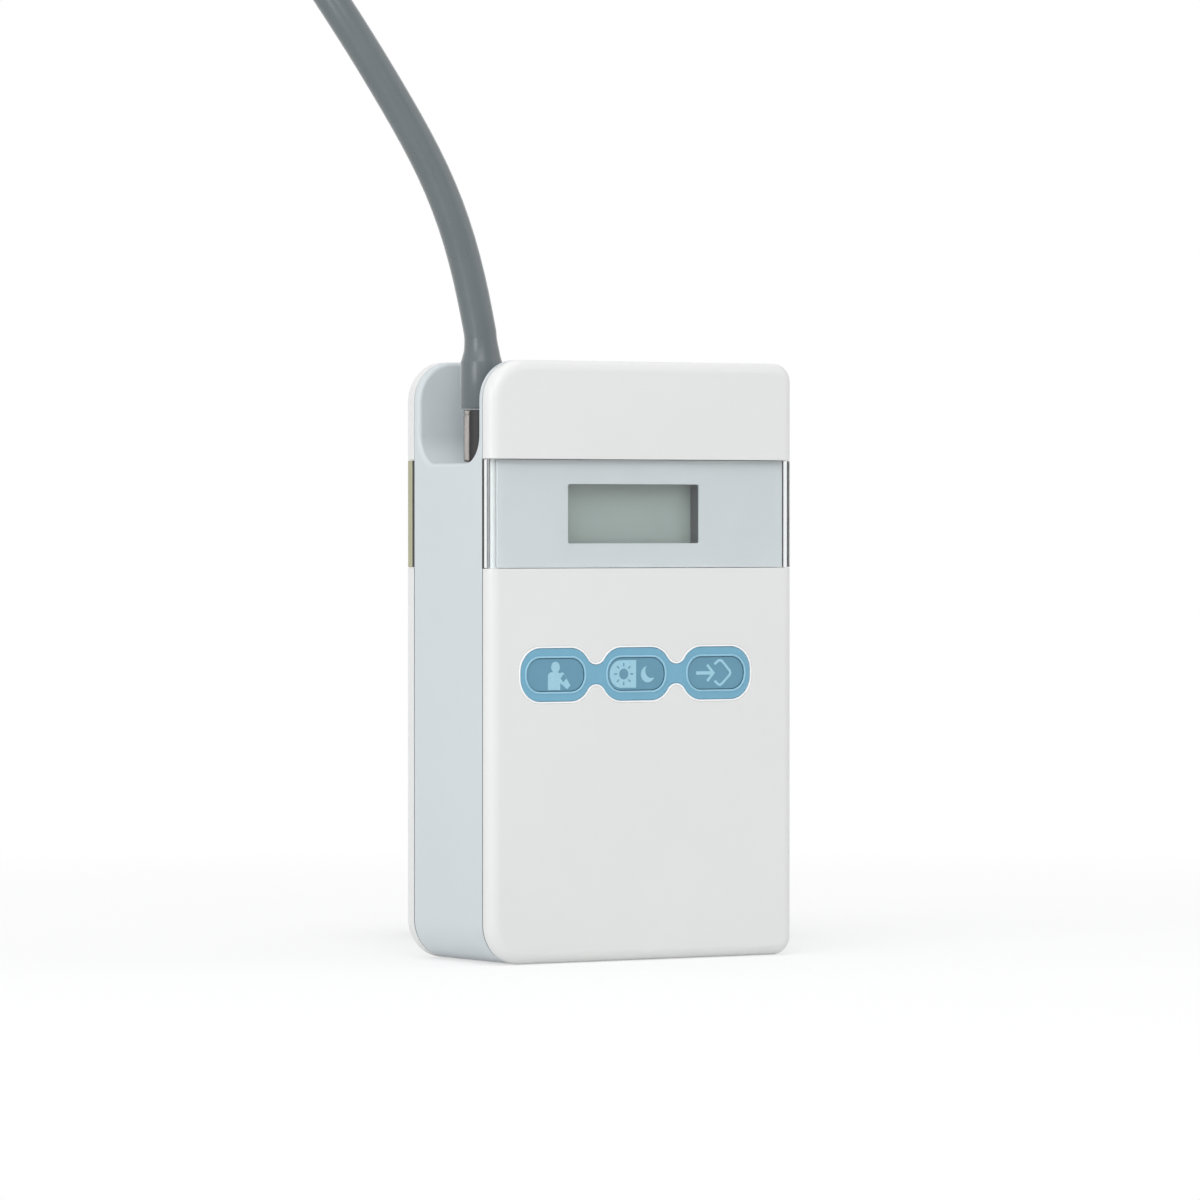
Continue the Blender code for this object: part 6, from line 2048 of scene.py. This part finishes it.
@dataclass
class Internals:
    """What the case holds: board, cells, pump, air block, valves, sensor, socket and their tubes."""

    levels: Levels
    cell_middle_y: float = 0.00745
    cell_levels: Flat = (0.0134, 0.0286)
    cell_radius: float = 0.00725
    cell_length: float = 0.0495
    cell_edge: float = 0.0008
    cell_step: float = 0.0003
    nub_radius: float = 0.00275
    nub_length: float = 0.001
    pump_left: float = -0.026
    pump_y: float = 0.00405
    pump_radius: float = 0.0097
    head_offset: float = 0.0303
    free_fields: tuple[Flat, ...] = ((0.044, 0.056), (0.071, 0.083))

    def build(self) -> None:
        """Builds and dresses all that the case holds."""
        self.cells()
        self.pump()
        self.socket()
        refine("main_board", Slot.BOARD, 0.0001)
        for node in ("main_chip", "exhaust_valve", "safety_valve", "pressure_sensor"):
            refine(node, Slot.BLACK, 0.00025)
        refine("air_block", Slot.BLOCK, 0.0004)
        refine("buzzer", Slot.BLACK)
        refine("clock_cell", Slot.STEEL)
        self.small_parts()
        for node in ("pump_tube", "sensor_tube", "socket_tube"):
            refine(node, Slot.SILICONE)

    def cells(self) -> None:
        """The two cells, the opposite way round to each other, and their contacts."""
        edge, radius, long, step = self.cell_edge, self.cell_radius, self.cell_length, self.cell_step
        nub, tip, foot = self.nub_radius, long + self.nub_length, radius - 0.0022
        half = tip / 2
        profile = [(0, 0), (foot, 0), (foot, 0.0002), (radius - edge, 0.0002)]
        profile += [(radius - edge + a, edge + b) for a, b in arc((0, 0), edge, 270, 360, 6)][1:]
        profile += [(radius - edge + a, long - edge + b) for a, b in arc((0, 0), edge, 0, 90, 6)]
        profile += [(radius - 0.0018, long), (radius - 0.0018, long - step), (nub, long - step)]
        profile += [(nub, tip - step), (nub - step, tip), (0, tip)]
        for name, z, way in (("lower", self.cell_levels[0], 1), ("upper", self.cell_levels[1], -1)):
            form = turned(profile, (-way * half, self.cell_middle_y, z), (way, 0, 0), 80)
            sleeve = CellSleeve(SLEEVE, way)
            show(f"cell_{name}", softened(form, 0.00008), Slot.CELL, [f"battery_{name}"], finish=sleeve)
        for name in ("bridge", "plus", "minus"):
            refine(f"contact_{name}", Slot.NICKEL, 0.0001)

    def pump(self) -> None:
        """The pump's motor and head, and the rubber mounts that hold them."""
        y, (low, high), radius = self.pump_y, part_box("pump_motor"), self.pump_radius
        z = (low[2] + high[2]) / 2
        boss, edge, waist, rim = 0.0035, 0.0008, radius - 0.0003, radius + 0.0006
        motor = [(0, -0.0015), (boss - 0.0002, -0.0015), (boss, -0.0013), (boss, 0), (radius - edge, 0)]
        motor += [(radius, edge), (radius, 0.0262), (waist, 0.0265), (waist, 0.0271), (radius, 0.0274)]
        motor += [(radius, 0.03), (0, 0.03)]
        form = turned(motor, (self.pump_left, y, z), X, 80)
        steel = ToolMarkedMetal((176, 178, 180), 0.3, Lay.ALONG_X)
        show("motor_can", softened(form, 0.0001), Slot.STEEL, ["pump_motor"], finish=steel)
        head = [(0, 0), (radius, 0), (radius, 0.005), (rim, 0.005), (rim, 0.0066), (radius, 0.0066)]
        head += [(radius, 0.0207), (radius - edge, 0.0207 + edge), (0, 0.0207 + edge)]
        head_x = self.pump_left + self.head_offset
        port = rod(0.002, radius + 0.0035, (head_x + 0.0157, y, z), Z, 40)
        mesh = carved(turned(head, (head_x, y, z), X, 80), (Cut.ADD, port))
        show("pump_head_moulding", softened(mesh, 0.0002), Slot.GREY, ["pump_head"])
        for name in ("motor", "head"):
            low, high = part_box(f"pump_mount_{name}")
            form = collar(radius + self.levels.gap, radius + 0.0014, high[0] - low[0], (low[0], y, z), X)
            show(f"{name}_mount", softened(form, 0.0002), Slot.SEAL, [f"pump_mount_{name}"])

    def socket(self) -> None:
        """The metal air socket under the scoop's floor, with its seal and nut."""
        at = self.levels
        body, wide, bore = 0.0043, 0.0062, 0.0027
        profile = [(0, -0.0084), (body, -0.0084), (body, -0.0009), (wide, -0.0009), (wide, 0)]
        profile += [(bore + 0.0003, 0), (bore, -0.0003), (bore, -0.0065), (0, -0.0065)]
        form = turned(profile, (at.socket_x, 0, at.scoop_floor), Z, 80)
        show("socket_body", softened(form, 0.0001), Slot.NICKEL, ["hose_socket"])
        low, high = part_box("socket_seal")
        form = collar(0.0046, 0.0056, high[2] - low[2], (at.socket_x, 0, low[2]), Z)
        show("socket_gasket", softened(form, 0.0001), Slot.SEAL, ["socket_seal"])
        refine("socket_nut", Slot.NICKEL, 0.0003)

    def small_parts(
        self, cell: float = 0.004, field_half: float = 0.028, size: Flat = (0.0008, 0.0016),
    ) -> None:
        """The chip parts in the free fields of the board's front, each kind by a Geometry Nodes tree.

        Args:
            cell: How far apart they stand.
            field_half: How far the fields reach to either side.
            size: A part's short and long sides.
        """
        cells = [
            (float(x), self.levels.board_front, float(z)) for low, high in self.free_fields
            for x in np.arange(-field_half, field_half, cell) for z in np.arange(low, high, cell)
        ]
        order = [cells[number] for number in np.random.default_rng(7).permutation(len(cells))]
        third = len(cells) // 3
        kinds = (("chip_resistors", size[::-1], Slot.BLACK), ("chip_capacitors", size, Slot.BLOCK))
        for number, (name, (across, up), slot) in enumerate(kinds):
            form = block((-across / 2, -0.0006, -up / 2), (across / 2, 0.00002, up / 2))
            places = order[number * third: (number + 1) * third]
            show(name, repeated(name, softened(form, 0.00006), places, slot), slot)


@dataclass
class Studio:
    """The camera at the photograph's angle, a pale floor, and soft lamps."""

    camera_place: Spot = (-0.793875, -1.257223, 0.092607)
    camera_right: Spot = (0.84560, -0.53382, 0.0)
    camera_forward: Spot = (0.53379, 0.84555, -0.01059)
    lens: float = 206.66
    sensor: float = 36.0
    floor_size: float = 6.0
    floor_drop: float = 0.0001
    floor_colour: Colour = (247, 248, 248)
    fade: Flat = (0.08, 0.5)
    aim: Spot = (0, 0, 0.06)
    world_level: float = 0.48
    lamps: tuple[tuple[str, Spot, float, float], ...] = (
        ("key", (-0.55, -0.75, 0.9), 0.7, 4.4),
        ("fill", (0.8, -0.5, 0.5), 0.8, 1.4),
        ("top", (0.0, 0.15, 1.1), 0.9, 3.4),
        ("side", (-1.0, -0.35, 0.35), 0.4, 2.6),
    )

    def build(self) -> None:
        """Sets the camera, the floor, the lamps and the world."""
        self.camera()
        self.floor()
        for lamp in self.lamps:
            self.lamp(*lamp)
        self.world()
        bpy.context.scene.view_settings.view_transform = "Standard"

    def camera(self) -> None:
        """Sets the camera from its place and its own axes."""
        data = bpy.data.cameras.new("camera")
        data.lens, data.sensor_width, data.clip_start, data.clip_end = self.lens, self.sensor, 0.01, 20
        made = link("camera", data)
        right, forward = Vector(self.camera_right).normalized(), Vector(self.camera_forward).normalized()
        turn = Matrix((right, right.cross(forward), -forward)).transposed().to_4x4()
        made.matrix_world = Matrix.Translation(self.camera_place) @ turn
        bpy.context.scene.camera = made

    def floor(self) -> None:
        """A pale floor that fades to plain white away from the object, and keeps the object's shadow."""
        form = bmesh.new()
        bmesh.ops.create_grid(form, x_segments=2, y_segments=2, size=self.floor_size)
        bmesh.ops.translate(form, verts=form.verts, vec=(0, 0, -self.floor_drop))
        made = link("floor", as_mesh(form, "floor"))
        graph = Graph("floor")
        away = graph.add("ShaderNodeVectorMath", {0: graph.place()}, operation="LENGTH").outputs["Value"]
        share = graph.math("MULTIPLY", graph.spread(away, 0.6, 1, *self.fade), graph.seen())
        graph.surface(Base_Color=linear(self.floor_colour), Roughness=0.9)
        graph.mix_in(share, "ShaderNodeEmission", Color=(1, 1, 1, 1), Strength=1.0)
        made.data.materials.append(graph.material)

    def lamp(self, name: str, place: Spot, size: float, power: float) -> None:
        """A square soft lamp that points at the middle of the case.

        Args:
            name: Its name.
            place: Where it hangs.
            size: Its side.
            power: Its power in watts.
        """
        data = bpy.data.lights.new(name, "AREA")
        data.shape, data.size, data.energy = "SQUARE", size, power
        made = link(name, data)
        made.location, made.rotation_mode = place, "QUATERNION"
        made.rotation_quaternion = (Vector(self.aim) - Vector(place)).to_track_quat("-Z", "Y")

    def world(self) -> None:
        """An even pale world that shows as plain white to the camera and in gloss and glass."""
        world = bpy.data.worlds.new("studio")
        world.use_nodes = True
        sky = Tree(world.node_tree)
        values = {"Value": sky.seen(), "To Min": self.world_level, "To Max": 1.0}
        strength = sky.add("ShaderNodeMapRange", values)
        background = world.node_tree.nodes["Background"]
        sky.feed(background, "Color", (1, 1, 1, 1))
        sky.feed(background, "Strength", strength.outputs[0])
        bpy.context.scene.world = world


def main() -> None:
    """Builds every sub-assembly in order."""
    logging.basicConfig(level=logging.INFO, format="%(message)s", stream=sys.stdout)
    levels, plan = Levels(), KeypadPlan()
    Studio().build()
    for part in (
        HoseLine(levels), Case(levels, plan), Windows(levels), Display(levels), Keypad(levels, plan),
        BatteryDoor(levels), SideControls(levels), Internals(levels),
    ):
        log.info("%s", type(part).__name__)
        part.build()


if __name__ == "__main__":
    main()
